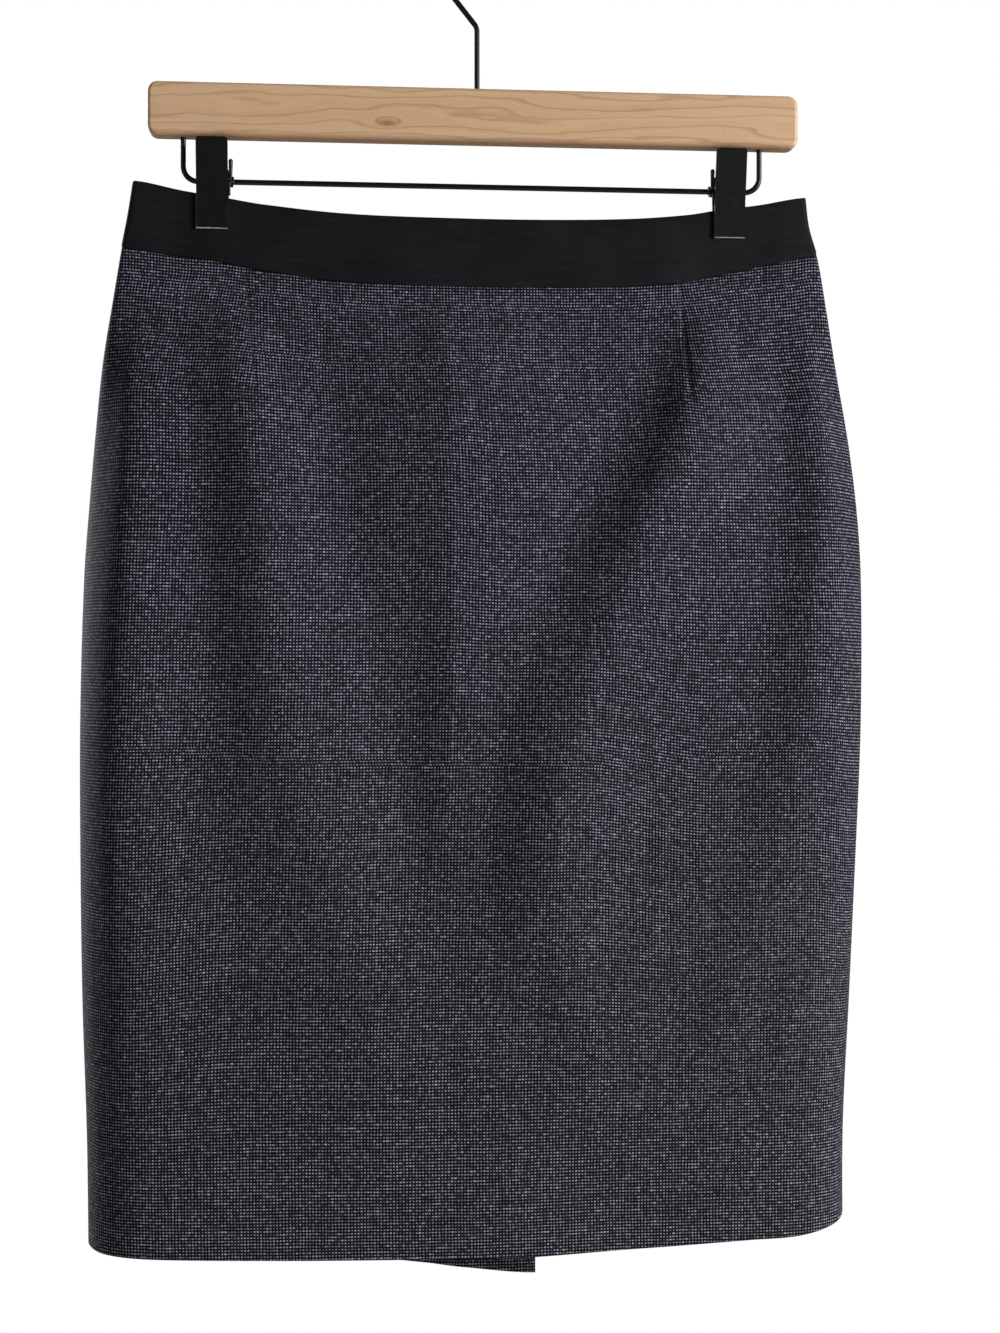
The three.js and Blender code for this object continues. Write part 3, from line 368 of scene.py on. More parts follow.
SOFT_FOLDS = (
    Fold("diagonal trough", Side.FRONT, 0.1, (
        (-214, 106, 0, 20, 14),
        (-236, 102, -1.6, 24, 18),
        (-262, 93, -2.2, 30, 20),
        (-294, 84, -2.4, 30, 20),
        (-325, 62, -1.8, 30, 24),
        (-357, 46, -0.8, 30, 26),
        (-389, 40, 0, 26, 26),
    )),
    Fold("diagonal crest", Side.FRONT, 0.2, (
        (-206, 132, 0, 18, 24),
        (-236, 130, 1.8, 20, 34),
        (-262, 121, 2.4, 22, 40),
        (-294, 112, 2.6, 24, 44),
        (-325, 92, 2.2, 26, 46),
        (-357, 80, 1.6, 30, 48),
        (-389, 74, 1.0, 34, 50),
        (-421, 66, 0.7, 36, 50),
        (-500, 60, 0.8, 36, 50),
        (-560, 56, 1.2, 30, 50),
        (-600, 58, 0.8, 28, 50),
        (-650, 60, 0, 28, 50),
    )),
    Fold("pressed centre line", Side.FRONT, 0.9, (
        (-198, -13.5, 0.5, 14, 26),
        (-250, -13.5, 0.9, 18, 30),
        (-300, -13.5, 1.3, 20, 34),
        (-340, -13.5, 2.0, 22, 38),
        (-389, -13.5, 2.6, 20, 54),
        (-421, -13.5, 2.8, 18, 58),
        (-450, -14.5, 2.2, 16, 54),
        (-490, -16, 1.2, 14, 44),
        (-540, -17, 0, 14, 40),
    )),
    Fold("upper centre swell", Side.FRONT, 0.1, (
        (-204, 10, 0, 80, 60),
        (-230, 12, 3.0, 98, 60),
        (-262, 18, 4.8, 108, 60),
        (-294, 26, 4.8, 112, 52),
        (-330, 32, 2.8, 100, 44),
        (-372, 36, 0, 80, 40),
    )),
    Fold("step below the centre line", Side.FRONT, 0.1, (
        (-370, 40, 0, 58, 60),
        (-410, 40, 4.8, 58, 60),
        (-450, 38, 6.6, 56, 62),
        (-490, 32, 6.8, 52, 60),
        (-530, 26, 5.0, 50, 54),
        (-610, 18, 0, 44, 46),
    )),
    Fold("shadow band crest", Side.FRONT, 0.1, (
        (-214, -46, 0, 34, 80),
        (-240, -46, 2.6, 34, 90),
        (-270, -44, 3.2, 36, 90),
        (-305, -41, 2.6, 38, 90),
        (-345, -37, 1.4, 40, 80),
        (-392, -34, 0, 40, 80),
    )),
    Fold("low left plane", Side.FRONT, 0, (
        (-520, -20, 0, 186, 90),
        (-600, -14, 3.4, 186, 90),
        (-660, -6, 5.0, 190, 90),
        (-745, 0, 5.6, 194, 90),
    )),
    Fold("left side crest", Side.FRONT, 0.2, (
        (-226, -186, 0, 12, 34),
        (-270, -191, 3.0, 12, 38),
        (-350, -195, 4.0, 12, 42),
        (-450, -196, 4.0, 12, 42),
        (-560, -194, 2.6, 12, 42),
        (-680, -190, 0, 12, 42),
    )),
    Fold("right side crest", Side.FRONT, 0.2, (
        (-214, 188, 0, 20, 18),
        (-250, 190, 2.8, 24, 22),
        (-300, 192, 4.2, 28, 24),
        (-360, 191, 4.2, 30, 26),
        (-400, 187, 3.4, 32, 28),
        (-450, 182, 2.0, 34, 30),
        (-510, 174, 0, 34, 30),
    )),
    Fold("left dart crest", Side.FRONT, 0.2, (
        (-210, -118, 0, 18, 30),
        (-240, -118, 2.4, 22, 40),
        (-300, -114, 3.4, 28, 50),
        (-364, -110, 2.8, 32, 52),
        (-430, -104, 1.8, 36, 52),
        (-500, -92, 0.9, 38, 50),
        (-560, -80, 0, 38, 50),
    )),
    Fold("back dart crest right", Side.BACK, 0.2, (
        (-222, 106, 0, 18, 22),
        (-262, 104, 1.6, 22, 28),
        (-340, 98, 2.0, 28, 36),
        (-430, 90, 1.2, 34, 42),
        (-520, 84, 0, 34, 42),
    )),
    Fold("back dart crest left", Side.BACK, 0.2, (
        (-222, -112, 0, 20, 20),
        (-270, -110, 1.8, 26, 24),
        (-352, -100, 1.9, 34, 30),
        (-440, -96, 1.0, 40, 34),
        (-530, -92, 0, 40, 34),
    )),
    Fold("back diagonal trough", Side.BACK, 0.1, (
        (-350, 20, 0, 30, 34),
        (-392, 34, -1.4, 32, 36),
        (-446, 58, -2.0, 34, 38),
        (-508, 78, -1.8, 36, 40),
        (-575, 92, -1.0, 38, 40),
        (-640, 100, 0, 38, 40),
    )),
    Fold("back low swell", Side.BACK, 0.1, (
        (-470, -60, 0, 50, 44),
        (-540, -70, 1.8, 54, 46),
        (-610, -78, 1.6, 54, 48),
        (-690, -84, 0, 54, 48),
    )),
)


@dataclass(frozen=True)
class Crease:
    """A small crease along a bent line from start, past bend, to end, each as (x, z).

    A positive height stands out and a negative one lies in. It dies away at both ends.
    """

    side: Side
    start: tuple[float, float]
    bend: tuple[float, float]
    end: tuple[float, float]
    high: float
    width: float

    STEPS = 14
    REACH = 3.2

    def height(self, x: Array, z: Array) -> Array:
        """Finds how far the crease stands out.

        Args:
            x: Places across.
            z: Their heights.

        Returns:
            The crease's height there.
        """
        start, bend, end = (np.array(point, float) for point in (self.start, self.bend, self.end))
        shares = np.linspace(0, 1, self.STEPS)[:, None]
        line = (1 - shares) ** 2 * start + 2 * shares * (1 - shares) * bend + shares ** 2 * end
        low = line.min(axis=0) - self.REACH * self.width
        high = line.max(axis=0) + self.REACH * self.width
        near = (x > low[0]) & (x < high[0]) & (z > low[1]) & (z < high[1])
        height = np.zeros(x.shape)
        height[near] = self._height_near(line, x[near], z[near])
        return height

    def _height_near(self, line: Array, x: Array, z: Array) -> Array:
        """Finds the height at places near the crease's line.

        Args:
            line: The points of the line.
            x: Places across.
            z: Their heights.

        Returns:
            The crease's height there.
        """
        nearest = np.full(x.shape, 1e9)
        along = np.zeros(x.shape)
        for i, (a, b) in enumerate(zip(line[:-1], line[1:])):
            step = b - a
            share = np.clip(((x - a[0]) * step[0] + (z - a[1]) * step[1]) / (step @ step), 0, 1)
            away = np.hypot(x - a[0] - share * step[0], z - a[1] - share * step[1])
            closer = away < nearest
            nearest = np.where(closer, away, nearest)
            along = np.where(closer, (i + share) / (self.STEPS - 1), along)
        fade = soft(along / 0.3) * soft((1 - along) / 0.3)
        return self.high * fade * np.exp(-(nearest / self.width) ** 2)


@dataclass(frozen=True)
class Dart:
    """A sewn dart, from the waist seam down to its point."""

    side: Side
    top_x: float
    point_x: float
    point_z: float
    intake: float = 11.0
    depth: float = 0.9
    width: float = 1.5

    SEWN_PAST = 4.0
    SEWN_RUN = 12.0
    TIP_DROP = 6.0
    TIP_TALL = 12.0
    TIP_WIDE = 7.0
    TIP_HIGH = 0.55

    def place(self, z: Array) -> Array:
        """Returns the dart's x at a height."""
        return mix(self.point_x, self.top_x, (z - self.point_z) / (SEAM_LEVEL - self.point_z))

    def taken(self, z: Array) -> Array:
        """Returns the width of cloth that the dart takes in at a height."""
        return self.intake * np.clip((z - self.point_z) / (SEAM_LEVEL - self.point_z), 0, 1)

    def height(self, x: Array, z: Array) -> Array:
        """Finds the dart's groove, and the small pucker past its point.

        Args:
            x: Places across.
            z: Their heights.

        Returns:
            The height there, which is negative in the groove.
        """
        away = x - self.place(z)
        sewn = soft((z - self.point_z + self.SEWN_PAST) / self.SEWN_RUN)
        groove = -self.depth * sewn * np.exp(-(away / self.width) ** 2)
        below = (z - self.point_z + self.TIP_DROP) / self.TIP_TALL
        return groove + self.TIP_HIGH * np.exp(-below ** 2 - (away / self.TIP_WIDE) ** 2)


DARTS = (
    Dart(Side.FRONT, -124, -117, -259),
    Dart(Side.FRONT, 114.6, 115.8, -259),
    Dart(Side.BACK, -104, -99, -318, intake=14),
    Dart(Side.BACK, 98, 94, -318, intake=14),
)

CREASES = (
    Crease(Side.FRONT, (15, -415), (52, -520), (98, -552), 0.8, 4.2),
    Crease(Side.FRONT, (24, -440), (60, -530), (104, -560), -0.7, 5.5),
    Crease(Side.FRONT, (176, -574), (140, -620), (92, -676), -0.9, 8),
    Crease(Side.FRONT, (190, -560), (160, -600), (118, -640), 0.8, 9),
    Crease(Side.FRONT, (-82, -233), (-62, -222), (-42, -216), 0.7, 5),
    Crease(Side.FRONT, (-90, -246), (-66, -236), (-48, -230), -0.6, 6),
    Crease(Side.FRONT, (4, -262), (24, -240), (52, -222), -0.9, 9),
    Crease(Side.FRONT, (-12, -416), (20, -412), (62, -414), -0.7, 10),
    Crease(Side.FRONT, (-150, -214), (-146, -236), (-150, -262), 0.8, 6),
    Crease(Side.FRONT, (150, -208), (160, -236), (164, -270), 0.9, 7),
    Crease(Side.FRONT, (140, -214), (148, -236), (150, -262), -0.7, 6),
    Crease(Side.FRONT, (-24, -214), (-18, -232), (-16, -252), 0.6, 5),
    Crease(Side.FRONT, (-196, -330), (-180, -352), (-168, -392), 0.7, 8),
    Crease(Side.FRONT, (-190, -470), (-176, -500), (-170, -548), -0.6, 9),
    Crease(Side.FRONT, (-60, -640), (-40, -662), (-34, -698), 0.5, 9),
    Crease(Side.FRONT, (120, -640), (128, -668), (140, -700), 0.6, 9),
    Crease(Side.BACK, (-150, -216), (-146, -240), (-152, -270), 0.9, 7),
    Crease(Side.BACK, (150, -216), (156, -244), (162, -280), 0.9, 7),
    Crease(Side.BACK, (-60, -236), (-34, -228), (-14, -230), -0.7, 7),
    Crease(Side.BACK, (8, -250), (30, -240), (60, -222), 0.7, 8),
    Crease(Side.BACK, (-20, -360), (-46, -392), (-84, -410), 0.8, 7),
    Crease(Side.BACK, (16, -366), (46, -404), (88, -430), -0.7, 9),
    Crease(Side.BACK, (-170, -560), (-140, -600), (-96, -650), 0.7, 9),
    Crease(Side.BACK, (186, -470), (168, -520), (150, -590), -0.7, 9),
    Crease(Side.BACK, (60, -560), (84, -590), (120, -606), 0.7, 8),
    Crease(Side.BACK, (-12, -540), (-26, -556), (-48, -566), 0.6, 5),
)


@dataclass(frozen=True)
class Droop:
    """A place where the front's rows of weave slope down to the right over a fold's flank."""

    left: float
    right: float
    middle_z: float
    reach: float
    fall: float

    def shift(self, x: Array, z: Array) -> Array:
        """Returns how far the rows have fallen at the places x, z."""
        window = soft(1 - np.abs(z - self.middle_z) / self.reach)
        return self.fall * soft((x - self.left) / (self.right - self.left)) * window


DROOPS = (
    Droop(48, 128, -480, 190, 10.5),
    Droop(176, 214, -520, 170, 5.0),
    Droop(100, 130, -250, 60, 4.0),
    Droop(-190, -120, -560, 150, -4.0),
    Droop(-30, 20, -330, 120, 3.0),
)


@dataclass(frozen=True)
class Ripple:
    """A faint wave over a whole side, which keeps the cloth from lying perfectly smooth."""

    across: float
    down: float
    turn: float
    high: float

    def height(self, x: Array, z: Array) -> Array:
        """Returns the wave's height at the places x, z."""
        return self.high * np.sin(x / self.across + self.turn + 0.7 * np.sin(z / self.down))


RIPPLES = (
    Ripple(31, 47, 0.4, 0.16),
    Ripple(19, 61, 2.1, 0.10),
    Ripple(53, 29, 4.0, 0.22),
    Ripple(-71, 23, 1.2, 0.18),
)


@dataclass(frozen=True)
class ClothForm:
    """The tube of cloth: where each share across a side lies at each height, with all its folds."""

    STEP_ACROSS = 0.0015
    STEP_DOWN = 0.5
    DART_FROM = 34.0
    DART_EASE = 3.0
    RIPPLE_FROM = 38.0
    RIPPLE_EASE = 50.0

    def edge(self, side: Side, band_x: Array) -> Array:
        """Returns the height of the waist edge across the band."""
        return WAIST.read(f"{side.value}_edge", band_x)

    def seam(self, side: Side, band_x: Array) -> Array:
        """Returns the height of the waist seam across the band."""
        return WAIST.read(f"{side.value}_seam", band_x)

    def section(self, z: Array) -> tuple[Array, Array]:
        """Finds the tube's width at a height.

        Args:
            z: Heights.

        Returns:
            Half the width, and the x of its middle.
        """
        left = OUTLINE.read("left", z)
        right = OUTLINE.read("right", z)
        return (right - left) / 2, (right + left) / 2

    def relief(self, side: Side, x: Array, z: Array, drop: Array) -> Array:
        """Adds up all folds, darts, creases and ripples of a side.

        Args:
            side: The front or the back.
            x: Places across.
            z: Their heights.
            drop: How far they lie below the waist edge.

        Returns:
            How far the cloth stands out there.
        """
        total = np.zeros(np.shape(x))
        for fold in (*FOLDS, *SOFT_FOLDS):
            if fold.side is side:
                total = total + fold.height(x, z)
        sewn = soft((drop - self.DART_FROM) / self.DART_EASE)
        for dart in DARTS:
            if dart.side is side:
                total = total + dart.height(x, z) * sewn
        for crease in CREASES:
            if crease.side is side:
                total = total + crease.height(x, z)
        ease = soft((drop - self.RIPPLE_FROM) / self.RIPPLE_EASE)
        return total + ease * sum(ripple.height(x, z) for ripple in RIPPLES)

    def pinch(self, x: Array, drop: Array) -> Array:
        """Finds how strongly a clip presses the two layers together.

        Args:
            x: Places across.
            drop: How far they lie below the waist edge.

        Returns:
            Shares from 0 to 1.
        """
        across = np.max([1 - soft((np.abs(x - centre) - PINCH_FLAT) / PINCH_FADE)
                         for centre in CLIP_CENTRES.values()], axis=0)
        return across * (1 - soft((drop - PINCH_DROP) / PINCH_DROP_FADE))

    def point(self, side: Side, across: Array, z: Array) -> Array:
        """Finds points of the cloth's outside.

        Args:
            side: The front or the back.
            across: Shares across, from -1 at the left seam to 1 at the right one.
            z: Heights, of the same shape.

        Returns:
            The points, with x, y and z along the last axis.
        """
        half, middle = self.section(z)
        drop = self.edge(side, across * BAND_HALF_WIDTH) - z
        rounding = DEPTHS.read("round", drop)
        depth = DEPTHS.read(side.value, drop)
        flat = half - rounding
        size = np.abs(across)
        turn = np.maximum(size - FLAT_END, 0) / END_SHARE * np.pi / 2
        out = np.where(turn > 0, flat + rounding * np.sin(turn), size / FLAT_END * flat)
        x = middle + np.sign(across) * out
        share = out / half
        edge = rounding * np.cos(turn)
        belly = (depth - rounding) * (1 - share ** DEPTHS.read("square", drop))
        fade = soft((share - FOLD_FADE_SHARE) / (1 - FOLD_FADE_SHARE))
        free = edge + belly + self.relief(side, x, z, drop) * (1 - fade)
        outward = mix(free, PINCH_DEPTH, self.pinch(x, drop))
        return np.stack([x, side.facing * outward, z + 0 * x], axis=-1)

    def normal(self, side: Side, across: Array, z: Array) -> Array:
        """Finds the cloth's outward direction.

        Args:
            side: The front or the back.
            across: Shares across.
            z: Heights, of the same shape.

        Returns:
            The directions, of length 1.
        """
        low = self.point(side, np.maximum(across - self.STEP_ACROSS, -1), z)
        high = self.point(side, np.minimum(across + self.STEP_ACROSS, 1), z)
        below = self.point(side, across, z - self.STEP_DOWN)
        above = self.point(side, across, z + self.STEP_DOWN)
        along, up = high - low, above - below
        return unit(np.cross(along, up) if side is Side.FRONT else np.cross(up, along))

    def share_at(self, x: Array, z: Array) -> Array:
        """Finds the share across at which the cloth has a given x.

        Args:
            x: Places across.
            z: Their heights.

        Returns:
            The shares.
        """
        half, middle = self.section(z)
        rounding = DEPTHS.read("round", self.edge(Side.FRONT, x) - z)
        return (x - middle) / (half - rounding) * FLAT_END

    def inside(self, side: Side, across: Array, z: Array, *depths: Array) -> list[Array]:
        """Moves points in from the cloth's outside, clear of the side seams.

        Args:
            side: The front or the back.
            across: Shares across.
            z: Heights, of the same shape.
            depths: One or more sets of depths.

        Returns:
            The points for each set of depths.
        """
        outside, normal = self.point(side, across, z), self.normal(side, across, z)
        at_seam = np.abs(np.abs(across) - 1) < 1e-9
        shift = np.where(at_seam, side.facing * SEAM_GAP / 2, 0.0)[..., None] * np.array([0, 1, 0])
        return [outside + shift - normal * depth[..., None] for depth in depths]


FORM = ClothForm()


# Meshes

def new_object(name: str, points: Array, faces: Sequence[Sequence[int]], smooth: bool = True
               ) -> bpy.types.Object:
    """Makes an object from points in millimetres.

    Args:
        name: The piece's name.
        points: Points in millimetres, one in a row.
        faces: The points of each face, by number.
        smooth: Whether the faces are shaded smooth.

    Returns:
        The object, linked to the scene.
    """
    mesh = bpy.data.meshes.new(name)
    mesh.from_pydata((np.asarray(points, float) * MM).tolist(), [], faces)
    mesh.validate()
    mesh.polygons.foreach_set("use_smooth", np.full(len(mesh.polygons), smooth))
    mesh.update()
    made = bpy.data.objects.new(name, mesh)
    bpy.context.scene.collection.objects.link(made)
    return made


def face_out(piece: bpy.types.Object) -> None:
    """Turns a closed mesh's faces so that they look out.

    Args:
        piece: The object.
    """
    mesh = piece.data
    mesh.calc_loop_triangles()
    corners = np.array([vertex.co[:] for vertex in mesh.vertices])
    triangles = np.array([triangle.vertices[:] for triangle in mesh.loop_triangles])
    a, b, c = (corners[triangles[:, i]] for i in range(3))
    if np.einsum("ij,ij->i", a, np.cross(b, c)).sum() < 0:
        mesh.flip_normals()


def set_map(piece: bpy.types.Object, name: str, places: Array) -> None:
    """Gives a mesh a map of places for each face corner.

    Args:
        piece: The object.
        name: The map's name.
        places: A pair of numbers for each corner of each face, in the mesh's order.
    """
    layer = piece.data.uv_layers.new(name=name)
    layer.data.foreach_set("uv", np.asarray(places, np.float32).ravel())


def dress(piece: bpy.types.Object, material: bpy.types.Material) -> None:
    """Puts one material on a whole piece."""
    piece.data.materials.clear()
    piece.data.materials.append(material)


def bevel(piece: bpy.types.Object, width: float, segments: int = 3, angle: float = 35) -> None:
    """Rounds a piece's edges.

    Args:
        piece: The object.
        width: The rounding's width in millimetres.
        segments: The number of steps in the rounding.
        angle: The smallest angle between faces that is rounded, in degrees.
    """
    rounding = piece.modifiers.new("edge", "BEVEL")
    rounding.width = width * MM
    rounding.segments = segments
    rounding.limit_method = "ANGLE"
    rounding.angle_limit = math.radians(angle)
    rounding.harden_normals = True


def stacked_faces(rings: int, size: int) -> list[list[int]]:
    """Lists the faces of a closed body of equal rings of points, with its two ends.

    Args:
        rings: The number of rings.
        size: The number of points in each.

    Returns:
        The faces.
    """
    faces = [[i * size + j, i * size + (j + 1) % size, (i + 1) * size + (j + 1) % size,
              (i + 1) * size + j] for i in range(rings - 1) for j in range(size)]
    faces.append(list(range(size))[::-1])
    faces.append([(rings - 1) * size + j for j in range(size)])
    return faces


def holed_faces(size: int) -> list[list[int]]:
    """Lists the faces of a plate with a hole, whose two layers hold an outline and a hole.

    Args:
        size: The number of points in the outline, and in the hole.

    Returns:
        The faces.
    """
    layer = 2 * size
    faces = []
    for j in range(size):
        after = (j + 1) % size
        faces.append([j, after, size + after, size + j])
        faces.append([layer + j, layer + size + j, layer + size + after, layer + after])
        faces.append([j, layer + j, layer + after, after])
        faces.append([size + j, size + after, layer + size + after, layer + size + j])
    return faces


def tube(points: Array, radius: float, sides: int = 16, taper: Callable[[float], float] | None = None
         ) -> tuple[Array, list[list[int]]]:
    """Sweeps a round section along points, with round ends.

    Args:
        points: The line's points in millimetres.
        radius: The section's radius.
        sides: The number of its sides.
        taper: The radius as a share, for a share along the line.

    Returns:
        The points and the faces.
    """
    line = np.asarray(points, float)
    tangents = unit(np.gradient(line, axis=0))
    start = np.array([0.0, 1.0, 0.0]) if abs(tangents[0][1]) < 0.9 else np.array([1.0, 0.0, 0.0])
    across = unit(np.cross(tangents[0], start))
    cap = [(math.cos(a), math.sin(a)) for a in np.radians((75, 50, 25))]
    rings: list[Array] = []

    def ring(centre: Array, side: Array, along: Array, size: float) -> None:
        """Adds one ring of the section.

        Args:
            centre: The ring's centre.
            side: A direction across the line.
            along: The line's direction.
            size: The ring's radius.
        """
        up = np.cross(along, side)
        turns = np.arange(sides) * 2 * np.pi / sides
        rings.append(centre + size * (np.cos(turns)[:, None] * side + np.sin(turns)[:, None] * up))

    sizes = [radius * (taper(i / (len(line) - 1)) if taper else 1.0) for i in range(len(line))]
    for shrink, back in cap:
        ring(line[0] - tangents[0] * sizes[0] * back, across, tangents[0], sizes[0] * shrink)
    for centre, along, size in zip(line, tangents, sizes):
        across = unit(across - along * (across @ along))
        ring(centre, across, along, size)
    for shrink, forward in reversed(cap):
        ring(line[-1] + tangents[-1] * sizes[-1] * forward, across, tangents[-1], sizes[-1] * shrink)
    return np.concatenate(rings), stacked_faces(len(rings), sides)


def joined(name: str, parts: Iterable[tuple[Array, list[list[int]]]], smooth: bool = True
           ) -> bpy.types.Object:
    """Makes one object from several sets of points and faces.

    Args:
        name: The piece's name.
        parts: The sets, each as points in millimetres and faces.
        smooth: Whether the faces are shaded smooth.

    Returns:
        The object.
    """
    points: list[Array] = []
    faces: list[list[int]] = []
    count = 0
    for part_points, part_faces in parts:
        points.append(part_points)
        faces.extend([[index + count for index in face] for face in part_faces])
        count += len(part_points)
    return new_object(name, np.concatenate(points), faces, smooth)


def arc(centre: tuple[float, float], radius: float, start: float, end: float, steps: int
        ) -> list[tuple[float, float]]:
    """Finds points of an arc in a plane.

    Args:
        centre: The arc's centre.
        radius: Its radius.
        start: The angle of its first point, in degrees.
        end: The angle of its last point.
        steps: The number of steps between them.

    Returns:
        The points.
    """
    return [(centre[0] + radius * math.cos(math.radians(angle)),
             centre[1] + radius * math.sin(math.radians(angle)))
            for angle in np.linspace(start, end, steps + 1)]


def rounded_rectangle(left: float, bottom: float, right: float, top: float, radius: float,
                      steps: int = 6) -> list[tuple[float, float]]:
    """Finds the outline of a rectangle with round corners.

    Args:
        left: The rectangle's left edge.
        bottom: Its lower edge.
        right: Its right edge.
        top: Its upper edge.
        radius: The corners' radius.
        steps: The number of steps in each corner.

    Returns:
        The outline's points, anticlockwise.
    """
    return [*arc((right - radius, top - radius), radius, 0, 90, steps),
            *arc((left + radius, top - radius), radius, 90, 180, steps),
            *arc((left + radius, bottom + radius), radius, 180, 270, steps),
            *arc((right - radius, bottom + radius), radius, 270, 360, steps)]


def pillow_plate(outline_at: Callable[[float], list[tuple[float, float]]], near: float, far: float,
                 rounding: float, steps: int = 6) -> tuple[Array, list[list[int]]]:
    """Makes a plate in the plane of X and Z whose two rims are round.

    Args:
        outline_at: Gives the outline, moved in by a distance.
        near: The plate's lowest Y.
        far: Its highest Y.
        rounding: The rims' radius.
        steps: The number of steps in a rim's round.

    Returns:
        The points and the faces.
    """
    turns = np.linspace(0, np.pi / 2, steps + 1)
    levels = [(near + rounding * (1 - math.sin(turn)), rounding * (1 - math.cos(turn)))
              for turn in turns[::-1]]
    levels += [(far - rounding * (1 - math.sin(turn)), rounding * (1 - math.cos(turn)))
               for turn in turns]
    rings = [[(x, y, z) for x, z in outline_at(inset)] for y, inset in levels]
    return np.array(rings).reshape(-1, 3), stacked_faces(len(rings), len(rings[0]))


def strip(line: Sequence[tuple[float, float]], thick: float, start: float, end: float,
          insets: Sequence[float] | None = None) -> tuple[Array, list[list[int]]]:
    """Makes a bent plate: a line in the plane of Y and Z, thickened and drawn out along X.

    Args:
        line: The line's points, each as (y, z).
        thick: The plate's thickness.
        start: Its lowest X.
        end: Its highest X.
        insets: How much narrower the plate is on each side, at each point.

    Returns:
        The points and the faces.
    """
    points = np.array(line, float)
    along = unit(np.gradient(points, axis=0))
    out = np.stack([-along[:, 1], along[:, 0]], axis=-1) * thick / 2
    loop = np.concatenate([points + out, (points - out)[::-1]])
    size = len(loop)
    narrow = np.zeros(len(points)) if insets is None else np.array(insets, float)
    narrow = np.concatenate([narrow, narrow[::-1]])
    both = np.concatenate([np.column_stack([x, loop]) for x in (start + narrow, end - narrow)])
    faces = [[j, (j + 1) % size, size + (j + 1) % size, size + j] for j in range(size)]
    rows = len(points)
    for i in range(rows - 1):
        back = size - 1 - i
        faces.append([i, i + 1, back - 1, back])
        faces.append([size + i, size + back, size + back - 1, size + i + 1])
    return both, faces


def rounded_start(line: Sequence[tuple[float, float]], radius: float, steps: int = 4
                  ) -> tuple[list[tuple[float, float]], list[float]]:
    """Adds points near a line's start, with the insets that round a plate's corners there.

    Args:
        line: The line's points.
        radius: The corners' radius.
        steps: The number of steps in each corner.

    Returns:
        The longer line, and the plate's inset at each of its points.
    """
    first, second = np.array(line[0], float), np.array(line[1], float)
    along = unit(second - first)
    turns = np.linspace(0, math.pi / 2, steps + 1)
    near = [tuple(first + along * radius * (1 - math.cos(turn))) for turn in turns]
    insets = [radius * (1 - math.sin(turn)) for turn in turns]
    return [*near, *line[1:]], [*insets, *([0.0] * (len(line) - 1))]


def smooth_line(points: Sequence[tuple[float, float]], steps: int = 6) -> list[tuple[float, float]]:
    """Cuts each inner corner of a line by a short curve.

    Args:
        points: The line's points.
        steps: The number of steps in each curve.

    Returns:
        The points of the smoother line.
    """
    cut = 0.35
    line = [np.array(point, float) for point in points]
    made = [line[0]]
    for before, corner, after in zip(line[:-2], line[1:-1], line[2:]):
        start = mix(corner, before, cut)
        end = mix(corner, after, cut)
        for share in np.linspace(0, 1, steps + 1):
            made.append((1 - share) ** 2 * start + 2 * share * (1 - share) * corner + share ** 2 * end)
    made.append(line[-1])
    return [tuple(point) for point in made]


# Shader maths

Operand = "Expression | float"


class Expression:
    """A number in a material, on which Python's operators add Math nodes."""

    def __init__(self, shader: "Shader", socket: bpy.types.NodeSocket) -> None:
        """Wraps a socket of a shader."""
        self.shader = shader
        self.socket = socket

    def __add__(self, other: Operand) -> "Expression":
        """Adds."""
        return self.shader.math("ADD", self, other)

    __radd__ = __add__

    def __sub__(self, other: Operand) -> "Expression":
        """Subtracts."""
        return self.shader.math("SUBTRACT", self, other)

    def __rsub__(self, other: Operand) -> "Expression":
        """Subtracts from a number."""
        return self.shader.math("SUBTRACT", other, self)

    def __mul__(self, other: Operand) -> "Expression":
        """Multiplies."""
        return self.shader.math("MULTIPLY", self, other)

    __rmul__ = __mul__

    def __truediv__(self, other: Operand) -> "Expression":
        """Divides."""
        return self.shader.math("DIVIDE", self, other)

    def __pow__(self, other: Operand) -> "Expression":
        """Raises to a power."""
        return self.shader.math("POWER", self, other)

    def __gt__(self, other: Operand) -> "Expression":
        """Gives 1 where this is the greater, and 0 elsewhere."""
        return self.shader.math("GREATER_THAN", self, other)

    def floor(self) -> "Expression":
        """Rounds down."""
        return self.shader.math("FLOOR", self)

    def fraction(self) -> "Expression":
        """Gives what is left after rounding down."""
        return self.shader.math("FRACT", self)

    def sine(self) -> "Expression":
        """Gives the sine."""
        return self.shader.math("SINE", self)

    def size(self) -> "Expression":
        """Gives the value without its sign."""
        return self.shader.math("ABSOLUTE", self)

    def held(self) -> "Expression":
        """Keeps the value between 0 and 1."""
        return self.shader.math("ADD", self, 0.0, clamp=True)


